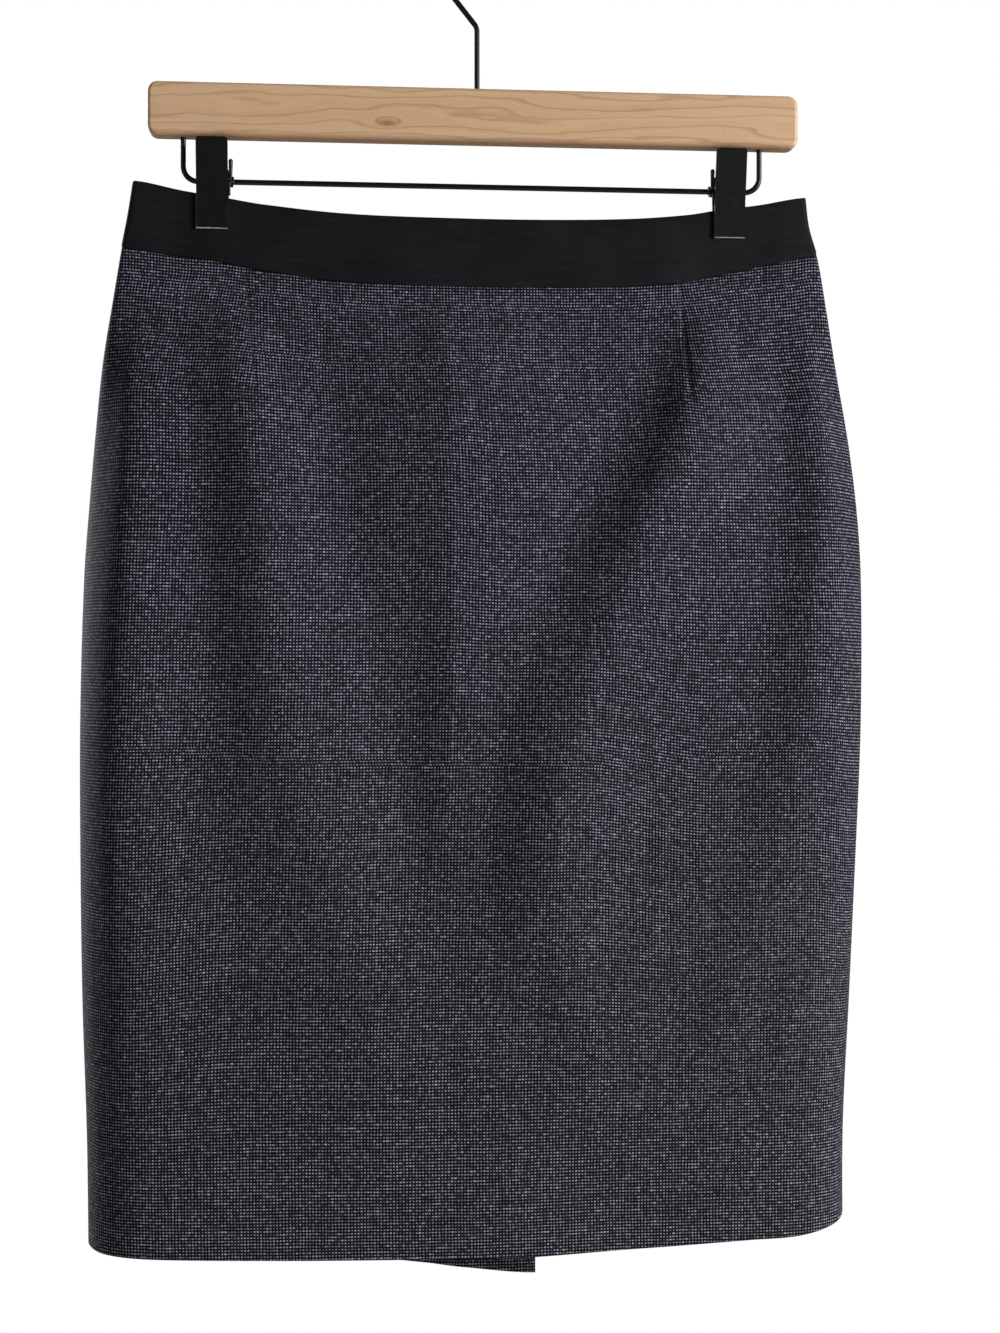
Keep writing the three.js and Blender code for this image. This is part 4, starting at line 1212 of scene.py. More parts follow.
class Shader:
    """A material's node tree, with a Principled surface."""

    def __init__(self, name: str) -> None:
        """Starts a material with one surface and its output.

        Args:
            name: The material's name.
        """
        self.material = bpy.data.materials.new(name)
        self.material.use_nodes = True
        self.tree = self.material.node_tree
        self.tree.nodes.clear()
        self.surface = self.node("ShaderNodeBsdfPrincipled")
        output = self.node("ShaderNodeOutputMaterial")
        self.tree.links.new(self.surface.outputs["BSDF"], output.inputs["Surface"])

    def node(self, kind: str, settings: dict | None = None, inputs: dict | None = None
             ) -> bpy.types.Node:
        """Makes any node.

        Args:
            kind: The node's type.
            settings: Its settings by name, which are set first.
            inputs: Values or links of its sockets, by name or number.

        Returns:
            The node.
        """
        made = self.tree.nodes.new(kind)
        for name, value in (settings or {}).items():
            setattr(made, name, value)
        for name, value in (inputs or {}).items():
            self.feed(made.inputs[name], value)
        return made

    def feed(self, socket: bpy.types.NodeSocket, value: object) -> None:
        """Links or sets one socket.

        Args:
            socket: The socket.
            value: A value, or an expression or socket to link.
        """
        if isinstance(value, Expression):
            self.tree.links.new(value.socket, socket)
        elif isinstance(value, bpy.types.NodeSocket):
            self.tree.links.new(value, socket)
        else:
            socket.default_value = value

    def math(self, operation: str, *values: Operand, clamp: bool = False) -> Expression:
        """Adds a Math node.

        Args:
            operation: What it does.
            values: What it works on.
            clamp: Whether its result is kept between 0 and 1.

        Returns:
            The result.
        """
        settings = {"operation": operation, "use_clamp": clamp}
        made = self.node("ShaderNodeMath", settings, dict(enumerate(values)))
        return Expression(self, made.outputs[0])

    def grain(self) -> tuple[Expression, Expression]:
        """Reads the place on the cloth's grain.

        Returns:
            The places along and down it, in millimetres.
        """
        places = self.node("ShaderNodeUVMap", {"uv_map": GRAIN_MAP})
        parts = self.node("ShaderNodeSeparateXYZ", inputs={0: places.outputs["UV"]})
        return Expression(self, parts.outputs["X"]), Expression(self, parts.outputs["Y"])

    def position(self) -> tuple[Expression, Expression, Expression]:
        """Reads the place on the object.

        Returns:
            Its x, y and z in millimetres.
        """
        place = self.node("ShaderNodeTexCoord")
        scaled = self.node("ShaderNodeVectorMath", {"operation": "SCALE"},
                           {0: place.outputs["Object"], "Scale": 1 / MM})
        parts = self.node("ShaderNodeSeparateXYZ", inputs={0: scaled.outputs[0]})
        return tuple(Expression(self, parts.outputs[name]) for name in "XYZ")

    def vector(self, x: Operand, y: Operand, z: Operand = 0.0) -> bpy.types.NodeSocket:
        """Joins three numbers into a vector."""
        return self.node("ShaderNodeCombineXYZ", inputs={0: x, 1: y, 2: z}).outputs[0]

    def chance(self, x: Operand, y: Operand, seed: float) -> Expression:
        """Adds a random number for each pair of whole numbers.

        Args:
            x: The first whole number.
            y: The second one.
            seed: Sets one use apart from another.

        Returns:
            The number, from 0 to 1.
        """
        made = self.node("ShaderNodeTexWhiteNoise", {"noise_dimensions": "3D"},
                         {"Vector": self.vector(x, y, seed)})
        return Expression(self, made.outputs["Value"])

    def noise(self, place: bpy.types.NodeSocket, scale: float, detail: float = 2.0,
              roughness: float = 0.5) -> Expression:
        """Adds cloudy noise.

        Args:
            place: Where it is read.
            scale: How close its clouds lie.
            detail: How many finer layers it has.
            roughness: How strong they are.

        Returns:
            The noise, about 0.5.
        """
        made = self.node("ShaderNodeTexNoise", {"noise_dimensions": "3D"},
                         {"Vector": place, "Scale": scale, "Detail": detail,
                          "Roughness": roughness})
        return Expression(self, made.outputs["Fac"])

    def step(self, value: Operand, low: float, high: float) -> Expression:
        """Adds a smooth step.

        Args:
            value: What it follows.
            low: The value at which it starts from 0.
            high: The value at which it reaches 1.

        Returns:
            The step.
        """
        made = self.node("ShaderNodeMapRange", {"interpolation_type": "SMOOTHSTEP"},
                         {"Value": value, "From Min": low, "From Max": high})
        return Expression(self, made.outputs["Result"])

    def blend(self, share: Operand, first: object, second: object) -> bpy.types.NodeSocket:
        """Mixes two colours.

        Args:
            share: The share of the second one.
            first: The colour at share 0, as a link or three numbers.
            second: The colour at share 1.

        Returns:
            The mixed colour.
        """
        made = self.node("ShaderNodeMix", {"data_type": "RGBA"})
        by_name = {socket.identifier: socket for socket in made.inputs}
        self.feed(by_name["Factor_Float"], share)
        for name, colour in (("A_Color", first), ("B_Color", second)):
            self.feed(by_name[name], (*colour, 1.0) if isinstance(colour, tuple) else colour)
        return next(socket for socket in made.outputs if socket.identifier == "Result_Color")

    def relief(self, height: Operand, distance: float, strength: float = 1.0) -> None:
        """Feeds the surface's normal from a height.

        Args:
            height: The height, as a share of the distance.
            distance: The greatest height, in millimetres.
            strength: How strongly it shows.
        """
        made = self.node("ShaderNodeBump", inputs={
            "Height": height, "Distance": distance * MM, "Strength": strength})
        self.feed(self.surface.inputs["Normal"], made.outputs["Normal"])

    def finish(self, colour: object, roughness: Operand, **constants: object) -> bpy.types.Material:
        """Feeds the surface and returns the material.

        Args:
            colour: The base colour, as a link or three numbers.
            roughness: The roughness.
            constants: Other sockets of the surface, with _ for a space.

        Returns:
            The material.
        """
        self.feed(self.surface.inputs["Base Color"],
                  (*colour, 1.0) if isinstance(colour, tuple) else colour)
        self.feed(self.surface.inputs["Roughness"], roughness)
        for name, value in constants.items():
            self.feed(self.surface.inputs[name.replace("_", " ")], value)
        return self.material


# Finishes

@dataclass(frozen=True)
class Hopsack:
    """The skirt's two-tone hopsack: rows of light dashes on a near-black ground."""

    name: str = "hopsack"
    column: float = 1.70
    row: float = 1.65
    dash_half: float = 0.275
    dash_tall: float = 0.225
    edge: float = 0.13
    long_above: float = 0.9
    long_extra: float = 0.15
    faintest: float = 0.28
    spread: float = 0.88
    cool_above_z: float = -260.0
    warm_below_z: float = -640.0
    ground: tuple[float, float, float] = (0.0024, 0.0025, 0.0044)
    light: tuple[float, float, float] = (0.365, 0.364, 0.478)
    warm: tuple[float, float, float] = (0.365, 0.377, 0.434)

    def material(self) -> bpy.types.Material:
        """Makes the material.

        Returns:
            The material.
        """
        shader = Shader(self.name)
        u, v = shader.grain()
        place = shader.vector(u, v)
        wander = (shader.noise(place, 0.05, 2) - 0.5) * 0.5
        rows = v / self.row + wander
        line = rows.floor()
        columns = u / self.column + shader.chance(line, 3.0, 1.7) * 0.08 + wander
        cell = columns.floor()
        long = shader.chance(cell, line, 7.3) > self.long_above
        half = self.dash_half + long * self.long_extra + (shader.chance(cell, line, 5.9) - 0.5) * 0.10
        tall = self.dash_tall + (shader.chance(cell, line, 12.6) - 0.5) * 0.08
        across = shader.step(half - (columns.fraction() - 0.5).size(), -self.edge / 2, self.edge)
        down = shader.step(tall - (rows.fraction() - 0.5).size(), -self.edge / 2, self.edge)
        dash = across * down
        each = self.faintest + self.spread * shader.chance(cell, line, 2.1)
        by_row = 0.86 + 0.26 * shader.chance(line, 11.0, 4.4)
        by_column = 0.91 + 0.18 * shader.chance(cell, 17.0, 9.2)
        cloud = 0.95 + 0.10 * shader.noise(place, 0.018, 3)
        yarn = (dash * each * by_row * by_column * cloud).held()
        hue = shader.step(v + (shader.noise(place, 0.012, 2) - 0.5) * 160,
                          self.warm_below_z, self.cool_above_z)
        tint = shader.blend(hue, self.warm, self.light)
        fibre = shader.noise(place, 2.6, 2)
        ground = shader.blend(fibre, self.ground, tuple(2.4 * value for value in self.ground))
        colour = shader.blend(yarn, ground, tint)
        shader.relief(dash * 0.8 + fibre * 0.35, 0.28, 0.8)
        return shader.finish(colour, 0.78 + 0.12 * fibre, Specular_IOR_Level=0.12,
                             Sheen_Weight=0.03, Sheen_Roughness=0.45,
                             Sheen_Tint=(0.75, 0.78, 0.9, 1.0))


@dataclass(frozen=True)
class BandTwill:
    """The waistband's plain black twill, with fine slanted ribs."""

    name: str = "band_twill"
    rib: float = 0.62
    dark: tuple[float, float, float] = (0.0008, 0.0010, 0.0012)
    pale: tuple[float, float, float] = (0.0090, 0.0106, 0.0120)

    def material(self) -> bpy.types.Material:
        """Makes the material.

        Returns:
            The material.
        """
        shader = Shader(self.name)
        u, v = shader.grain()
        place = shader.vector(u, v)
        ribs = (((u + v * 1.35) / self.rib) * 2 * math.pi).sine() * 0.5 + 0.5
        thread = ((v / 0.42) * 2 * math.pi).sine() * 0.5 + 0.5
        lint = shader.noise(place, 1.9, 3)
        cloud = shader.noise(place, 0.03, 3)
        streak = shader.noise(shader.vector(u * 0.05, v * 0.4), 1.0, 3)
        share = (ribs * 0.4 + lint * 0.5 + (cloud - 0.5) * 1.2 + (streak - 0.5) * 1.1).held()
        shader.relief(ribs * 0.7 + thread * 0.2 + lint * 0.3, 0.10, 0.5)
        return shader.finish(shader.blend(share, self.dark, self.pale), 0.62 + 0.2 * lint,
                             Specular_IOR_Level=0.16, Sheen_Weight=0.02, Sheen_Roughness=0.4,
                             Sheen_Tint=(0.8, 0.85, 1.0, 1.0))


@dataclass(frozen=True)
class WovenTape:
    """The zip's woven tape and its coil, in matt black."""

    name: str = "zip_tape"
    pitch: float = 0.8

    def material(self) -> bpy.types.Material:
        """Makes the material.

        Returns:
            The material.
        """
        shader = Shader(self.name)
        x, _, z = shader.position()
        place = shader.vector(x, z)
        zigzag = (x / 3.0).fraction() - 0.5
        ribs = (((z + zigzag.size() * 2.4) / self.pitch) * 2 * math.pi).sine() * 0.5 + 0.5
        lint = shader.noise(place, 1.6, 2)
        shader.relief(ribs, 0.12, 0.6)
        colour = shader.blend((ribs * 0.6 + lint * 0.4).held(), (0.004, 0.004, 0.005),
                              (0.014, 0.014, 0.016))
        return shader.finish(colour, 0.8, Specular_IOR_Level=0.3)


@dataclass(frozen=True)
class SewingThread:
    """The black sewing thread, twisted and a little shiny."""

    name: str = "sewing_thread"

    def material(self) -> bpy.types.Material:
        """Makes the material.

        Returns:
            The material.
        """
        shader = Shader(self.name)
        x, _, z = shader.position()
        twist = (((z + x * 0.6) / 0.35) * 2 * math.pi).sine() * 0.5 + 0.5
        shader.relief(twist, 0.05, 0.6)
        colour = shader.blend(twist, (0.007, 0.007, 0.009), (0.03, 0.03, 0.036))
        return shader.finish(colour, 0.55, Sheen_Weight=0.1)


@dataclass(frozen=True)
class Maple:
    """The bar's clear-coated maple: long wavy grain, flecks, one small knot, and painted shade that
    darkens its lowest few millimetres towards brown.
    """

    name: str = "maple"
    pale: tuple[float, float, float] = (0.69, 0.448, 0.262)
    tan: tuple[float, float, float] = (0.48, 0.280, 0.148)
    brown: tuple[float, float, float] = (0.30, 0.145, 0.065)
    knot_x: float = -47.0
    knot_z: float = -108.5
    knot_reach_x: float = 9.0
    knot_reach_z: float = 3.2
    ring_height: float = 6.2
    # The band of painted shade along the bar's lower edge lies between these two heights.
    painted_shade_low_z: float = -117.3
    painted_shade_high_z: float = -114.2

    def material(self) -> bpy.types.Material:
        """Makes the material.

        Returns:
            The material.
        """
        shader = Shader(self.name)
        x, y, z = shader.position()
        away = (((x - self.knot_x) / self.knot_reach_x) ** 2.0
                + ((z - self.knot_z) / self.knot_reach_z) ** 2.0)
        swirl = self._fade(shader, away)
        drift = shader.noise(shader.vector(x * 0.008, y * 0.05, z * 0.05), 1.0, 3)
        wave = shader.noise(shader.vector(x * 0.02, y * 0.06, z * 0.12), 1.0, 2)
        height = z + y * 0.5 + (drift - 0.5) * 26 + (wave - 0.5) * 7 + swirl * 6
        rings = (height / self.ring_height).fraction()
        late = shader.step(rings, 0.66, 0.9) * (1 - shader.step(rings, 0.9, 1.0))
        bands = shader.noise(shader.vector(x * 0.004, y * 0.1, height * 0.16), 1.0, 3)
        fibre = shader.noise(shader.vector(x * 0.07, y * 2.2, z * 2.4), 1.0, 3, 0.65)
        fleck = shader.step(shader.noise(shader.vector(x * 0.22, y * 1.2, z * 2.0), 1.0, 1), 0.66, 0.76)
        share = (late * 0.66 + (bands - 0.44) * 1.1 + (fibre - 0.5) * 0.7).held()
        wood = shader.blend(share, self.pale, self.tan)
        wood = shader.blend((fleck * 0.30).held(), wood, self.brown)
        core = self._fade(shader, away * 3.2)
        wood = shader.blend((core * 0.9 + swirl * late * 0.25).held(), wood, self.brown)
        # Painted shade: the lowest few millimetres of the bar, where it turns under, are blended towards
        # brown.
        rim = 1 - shader.step(z, self.painted_shade_low_z, self.painted_shade_high_z)
        wood = shader.blend((rim * 0.6).held(), wood, self.brown)
        shader.relief(fibre * 0.5 + late * 0.3 - fleck * 0.4, 0.06, 0.5)
        return shader.finish(wood, 0.42 + 0.18 * fibre, Specular_IOR_Level=0.4,
                             Coat_Weight=0.15, Coat_Roughness=0.35)

    @staticmethod
    def _fade(shader: Shader, away: Expression) -> Expression:
        """Returns 1 at the knot's middle, dying away from it."""
        return shader.math("POWER", math.exp(-1.0), away)


@dataclass(frozen=True)
class BlackCoat:
    """Black coated steel: satin, with faint mottling and fine scratches, and a painted highlight as a
    pale grey band along its lowest edge.
    """

    name: str
    roughness: float
    dark: tuple[float, float, float] = (0.0016, 0.0016, 0.0017)
    rubbed: tuple[float, float, float] = (0.0085, 0.0085, 0.009)
    # The pale grey of the painted highlight along the lowest edge, and the height below which it is
    # painted.
    painted_highlight: tuple[float, float, float] = (0.34, 0.34, 0.36)
    painted_highlight_below: float = -1000.0
    scratch_along: float = 0.25

    def material(self) -> bpy.types.Material:
        """Makes the material.

        Returns:
            The material.
        """
        shader = Shader(self.name)
        x, y, z = shader.position()
        place = shader.vector(x, y, z)
        mottle = shader.noise(place, 0.35, 3)
        peel = shader.noise(place, 2.2, 2)
        thin = shader.noise(shader.vector(x * 3.2, y * 3.2, z * self.scratch_along), 1.0, 2)
        scratch = shader.step(thin, 0.68, 0.74)
        share = (mottle * 0.35 + scratch * 0.5).held()
        shader.relief(peel * 0.6 - scratch * 0.5, 0.04, 0.4)
        coat = shader.blend(share, self.dark, self.rubbed)
        # Painted highlight: below the given height the coat turns pale grey, standing in for light
        # caught on the lowest edge.
        edge = 1 - shader.step(z + (mottle - 0.5) * 0.8, self.painted_highlight_below, self.painted_highlight_below + 0.3)
        return shader.finish(shader.blend(edge.held(), coat, self.painted_highlight),
                             self.roughness + 0.14 * mottle - 0.08 * scratch,
                             Specular_IOR_Level=0.34)


@dataclass(frozen=True)
class DarkMetal:
    """The slider's and tab's dark plated metal."""

    name: str = "zip_metal"

    def material(self) -> bpy.types.Material:
        """Makes the material.

        Returns:
            The material.
        """
        shader = Shader(self.name)
        x, y, z = shader.position()
        place = shader.vector(x, y, z)
        worn = shader.noise(place, 0.9, 3)
        brushed = shader.noise(shader.vector(x * 6, y * 6, z * 0.5), 1.0, 2)
        shader.relief(brushed, 0.02, 0.3)
        colour = shader.blend((worn * 0.6 + brushed * 0.3).held(), (0.018, 0.018, 0.02),
                              (0.075, 0.075, 0.08))
        return shader.finish(colour, 0.28 + 0.2 * worn, Metallic=0.85)


# The skirt's cloth

@dataclass(frozen=True)
class Cut:
    """The flat size of one piece as it is cut, in metres, and its area where it is no rectangle."""

    width: float
    length: float
    area: float


@dataclass
class ClothPiece:
    """One piece of the skirt as a fine closed wall."""

    name: str
    node: str
    side: Side
    columns: Callable[[Array], Array]
    rows: Array
    top: Callable[[Array], Array]
    bottom: Callable[[Array, Array], Array]
    inset: float
    wall: float
    slot: str
    cut: Cut
    rests_on: tuple[str, ...]
    sink: Callable[[Array, Array], Array] | None = None
    top_round: float = 0.0
    bottom_round: float = 0.0
    grain_sag: float = 0.0

    SIDE_LENGTH = 16.0
    SIDE_WORN = 0.45
    SIDE_RUN = 1.1
    FREE_WORN = 0.4
    SAG_REACH = 170.0

    def build(self, material: bpy.types.Material) -> None:
        """Args:
            material: Its finish.
        """
        across, z = self._places()
        x = FORM.point(self.side, across, z)[..., 0]
        sunk = self.sink(x, z) if self.sink else np.zeros(x.shape)
        worn = self._worn(z, across, x)
        outer, inner = FORM.inside(self.side, across, z, self.inset + worn + sunk,
                                   self.inset + self.wall - worn + sunk)
        piece = self._wall(outer, inner)
        dress(piece, material)
        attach(piece, SKIRT_BODY)
        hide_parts(self.node)
        list(self.rests_on)
        log.info("%s: %d faces, outside %.4f m2", self.name, len(piece.data.polygons),
                 self._area(outer))

    def _places(self) -> tuple[Array, Array]:
        """Lays out the piece's grid.

        Returns:
            The shares across and the heights of its points.
        """
        at_top = self.columns(np.array([SEAM_LEVEL]))[0]
        at_hem = self.columns(np.array([HEM_LEVEL]))[0]
        hem_x = FORM.point(self.side, at_hem, np.full(at_hem.shape, HEM_LEVEL))[..., 0]
        top = self.top(at_top * BAND_HALF_WIDTH)
        bottom = self.bottom(at_top * BAND_HALF_WIDTH, hem_x)
        z = mix(top[None, :], bottom[None, :], self.rows[:, None])
        by_column = np.stack([self.columns(z[:, j])[:, j] for j in range(z.shape[1])], axis=1)
        return by_column, z

    def _worn(self, z: Array, across: Array, x: Array) -> Array:
        """Finds how far each place is rounded in at the piece's edges.

        Args:
            z: The heights of the grid's points.
            across: Their shares across.
            x: Their places across.

        Returns:
            The depths.
        """
        from_top = z[0][None, :] - z
        from_bottom = z - z[-1][None, :]
        worn = self._round(from_top, self.top_round) + self._round(from_bottom, self.bottom_round)
        to_side = np.abs(np.abs(across) - 1) / END_SHARE * self.SIDE_LENGTH
        worn = worn + self.SIDE_WORN * np.exp(-(to_side / self.SIDE_RUN) ** 2)
        if self.side is Side.BACK:
            free = x[:, -1:] if self.name.endswith("left") else x[:, :1]
            worn = worn + self.FREE_WORN * np.exp(-(x - free) ** 2)
        return np.minimum(worn, self.wall / 2)

    @staticmethod
    def _round(distance: Array, radius: float) -> Array:
        """Finds the depth of a quarter round beside an edge.

        Args:
            distance: Distances from the edge.
            radius: The round's radius.

        Returns:
            The depths.
        """
        if radius <= 0:
            return np.zeros(distance.shape)
        near = np.clip(1 - distance / radius, 0, 1)
        return radius * (1 - np.sqrt(1 - near ** 2))

    @staticmethod
    def _area(grid: Array) -> float:
        """Measures a grid of points.

        Args:
            grid: The points, in rows and columns.

        Returns:
            Its area in square metres.
        """
        a, b = grid[:-1, :-1], grid[1:, :-1]
        c, d = grid[1:, 1:], grid[:-1, 1:]
        first = np.linalg.norm(np.cross(b - a, c - a), axis=-1)
        second = np.linalg.norm(np.cross(c - a, d - a), axis=-1)
        return float((first + second).sum() / 2) * MM * MM

    def _grain(self, outer: Array) -> Array:
        """Lays the weave's grain over the outside.

        Args:
            outer: The outside's points, in rows and columns.

        Returns:
            Each point's place along and down the grain, in millimetres.
        """
        steps = np.linalg.norm(np.diff(outer, axis=1), axis=-1)
        along = np.concatenate([np.zeros((len(outer), 1)), np.cumsum(steps, axis=1)], axis=1)
        x, z = outer[..., 0], outer[..., 2]
        middle = np.abs(x - CENTRE_BACK if self.side is Side.BACK else x)
        zero = np.take_along_axis(along, np.argmin(middle, axis=1)[:, None], axis=1)
        u = along - zero
        for dart in DARTS:
            if dart.side is self.side and self.grain_sag > 0:
                sign = math.copysign(1.0, dart.point_x)
                outside = sign * (x - dart.place(z)) > 0
                u = u + np.where(outside, sign * dart.taken(z), 0.0)
        seam = FORM.seam(self.side, x) - FORM.seam(self.side, np.zeros(x.shape))
        fade = soft(1 - (FORM.seam(self.side, x) - z) / self.SAG_REACH)
        v = z - self.grain_sag * seam * fade
        if self.side is Side.FRONT:
            v = v + sum(droop.shift(x, z) for droop in DROOPS)
        return np.stack([u, v], axis=-1)

    def _wall(self, outer: Array, inner: Array) -> bpy.types.Object:
        """Joins two grids into one closed, mapped wall.

        Args:
            outer: The outside's points, in rows and columns.
            inner: The inside's points.

        Returns:
            The object.
        """
        rows, columns = outer.shape[:2]
        count = rows * columns
        index = np.arange(count).reshape(rows, columns)
        within = index + count
        a, b, c, d = index[:-1, :-1], index[1:, :-1], index[1:, 1:], index[:-1, 1:]
        quads = [np.stack([a, b, c, d], -1).reshape(-1, 4),
                 np.stack([a, d, c, b], -1).reshape(-1, 4) + count]
        for line, other in ((index[:, 0], within[:, 0]), (index[:, -1][::-1], within[:, -1][::-1]),
                            (index[0][::-1], within[0][::-1]), (index[-1], within[-1])):
            quads.append(np.stack([line[:-1], other[:-1], other[1:], line[1:]], -1))
        faces = np.concatenate(quads)
        if self.side is Side.BACK:
            faces = faces[:, ::-1]
        points = np.concatenate([outer.reshape(-1, 3), inner.reshape(-1, 3)])
        piece = new_object(self.name, points, faces.tolist())
        face_out(piece)
        grain = self._grain(outer).reshape(-1, 2)
        corners = np.zeros(len(piece.data.loops), np.int32)
        piece.data.loops.foreach_get("vertex_index", corners)
        set_map(piece, GRAIN_MAP, np.concatenate([grain, grain])[corners])
        return piece


CLOSE_COLUMNS = Table(("start", "end", "step"), (
    (-0.640, -0.545, 0.0034),
    (-0.078, -0.052, 0.0045),
    (0.532, 0.590, 0.0032),
))


class SkirtColumns:
    """The shares across of each piece's columns, by height."""

    def __init__(self, ends: int, flat: int, centre: int) -> None:
        """Spaces the columns.

        Args:
            ends: The number of columns at each rounded end.
            flat: The number in between.
            centre: The number at the centre back.
        """
        self.ends = np.linspace(0, 1, ends + 1)
        self.flat = np.linspace(0, 1, flat + 1)
        self.centre = np.linspace(0, 1, centre + 1)

    def whole(self, z: Array) -> Array:
        """Lists the columns of a front piece, closer at its darts and its crease.

        Args:
            z: Heights.

        Returns:
            The shares across at each height.
        """
        even = mix(-FLAT_END, FLAT_END, self.flat)
        close = []
        for start, end, step in CLOSE_COLUMNS.rows:
            even = even[(even < start) | (even > end)]
            close.append(np.arange(start, end, step))
        middle = np.sort(np.concatenate([even, *close]))
        shares = np.concatenate([mix(-1, -FLAT_END, self.ends[:-1]), middle,
                                 mix(FLAT_END, 1, self.ends[1:])])
        return np.tile(shares, (len(z), 1))

    @staticmethod
    def _between(start: Array, end: Array, shares: Array) -> Array:
        """Returns columns between two shares that may change with height."""
        return mix(np.broadcast_to(start, end.shape)[:, None], end[:, None], shares[None, :])

    def _left_end(self, z: Array) -> Array:
        """Returns the columns of a back piece's rounded left end."""
        return np.tile(mix(-1, -FLAT_END, self.ends[:-1]), (len(z), 1))

    def left_edge(self, z: Array) -> Array:
        """Finds the left back piece's free edge.

        Args:
            z: Heights.

        Returns:
            Its x at each height.
        """
        below = np.clip((VENT_TOP_Z - z) / VENT_SLANT, 0, 1)
        under = mix(CENTRE_BACK - SEAM_GAP / 2, UNDERLAP_EDGE, below)
        return np.where(z > ZIP_END_Z, CENTRE_BACK - ZIP_SLOT / 2, under)

    def right_edge(self, z: Array) -> Array:
        """Returns the x of the right back piece's free edge."""
        return CENTRE_BACK + np.where(z > ZIP_END_Z, ZIP_SLOT, SEAM_GAP) / 2

    def back_left(self, z: Array) -> Array:
        """Lists the columns of the left back panel.

        Args:
            z: Heights.

        Returns:
            The shares across at each height.
        """
        start = FORM.share_at(np.full(z.shape, UNDERLAP_START), z)
        edge = FORM.share_at(self.left_edge(z), z)
        return np.concatenate([self._left_end(z), self._between(np.array(-FLAT_END), start, self.flat),
                               self._between(start, edge, self.centre[1:])], axis=1)

    def back_right(self, z: Array) -> Array:
        """Lists the columns of a right back piece.

        Args:
            z: Heights.

        Returns:
            The shares across at each height.
        """
        edge = FORM.share_at(self.right_edge(z), z)
        end = np.tile(mix(FLAT_END, 1, self.ends[1:]), (len(z), 1))
        return np.concatenate([self._between(edge, np.full(z.shape, FLAT_END), self.flat), end], axis=1)

    def band_left(self, z: Array) -> Array:
        """Lists the columns of the left back piece of the band.

        Args:
            z: Heights.

        Returns:
            The shares across at each height.
        """
        edge = FORM.share_at(self.left_edge(z), z)
        return np.concatenate([self._left_end(z), self._between(np.array(-FLAT_END), edge, self.flat)],
                              axis=1)


def underlap_sink(x: Array, z: Array) -> Array:
    """Finds how far the left back panel passes under the right one at the vent.

    Args:
        x: Places across.
        z: Their heights.

    Returns:
        The depths there.
    """
    across = soft((x - UNDERLAP_START) / UNDERLAP_RUN)
    down = soft((VENT_TOP_Z + VENT_EASE - z) / (VENT_EASE - 2 * ROW_EASE))
    return UNDERLAP_STEP * across * down


def edge_rows(count: int, length: float, top_round: float, bottom_round: float) -> Array:
    """Spaces rows down a piece, close together where its two edges are round.

    Args:
        count: The number of rows between the edges.
        length: The piece's length.
        top_round: The radius of its upper edge.
        bottom_round: The radius of its lower edge.

    Returns:
        The shares of the way down.
    """
    near = np.array([0, 0.08, 0.25, 0.5, 1.0])
    top = near * top_round / length
    bottom = 1 - near[::-1] * bottom_round / length
    return np.concatenate([top, np.linspace(top[-1], bottom[0], count + 1)[1:-1], bottom])


def back_rows(hem_z: float, counts: tuple[int, int, int], bottom_round: float) -> Array:
    """Spaces rows down a back panel, with close rows at the zip's end and the vent's top.

    Args:
        hem_z: The height of the panel's lowest point.
        counts: The number of rows beside the zip, above the vent and beside it.
        bottom_round: The radius of the panel's lower edge.

    Returns:
        The shares of the way down.
    """
    def share(z: float) -> float:
        """Returns the share down the panel of a height at the centre back."""
        return (BACK_TOP_Z - z) / (BACK_TOP_Z - hem_z)

    length = BACK_TOP_Z - hem_z
    end = 1 - bottom_round / length
    close = 1 - np.array([0.5, 0.25, 0.08, 0]) * bottom_round / length
    return np.concatenate([
        np.linspace(0, share(ZIP_END_Z + ROW_EASE), counts[0]),
        np.linspace(share(ZIP_END_Z - ROW_EASE), share(VENT_TOP_Z + ROW_EASE), counts[1]),
        np.linspace(share(VENT_TOP_Z - VENT_SLANT), end, counts[2]),
        close,
    ])


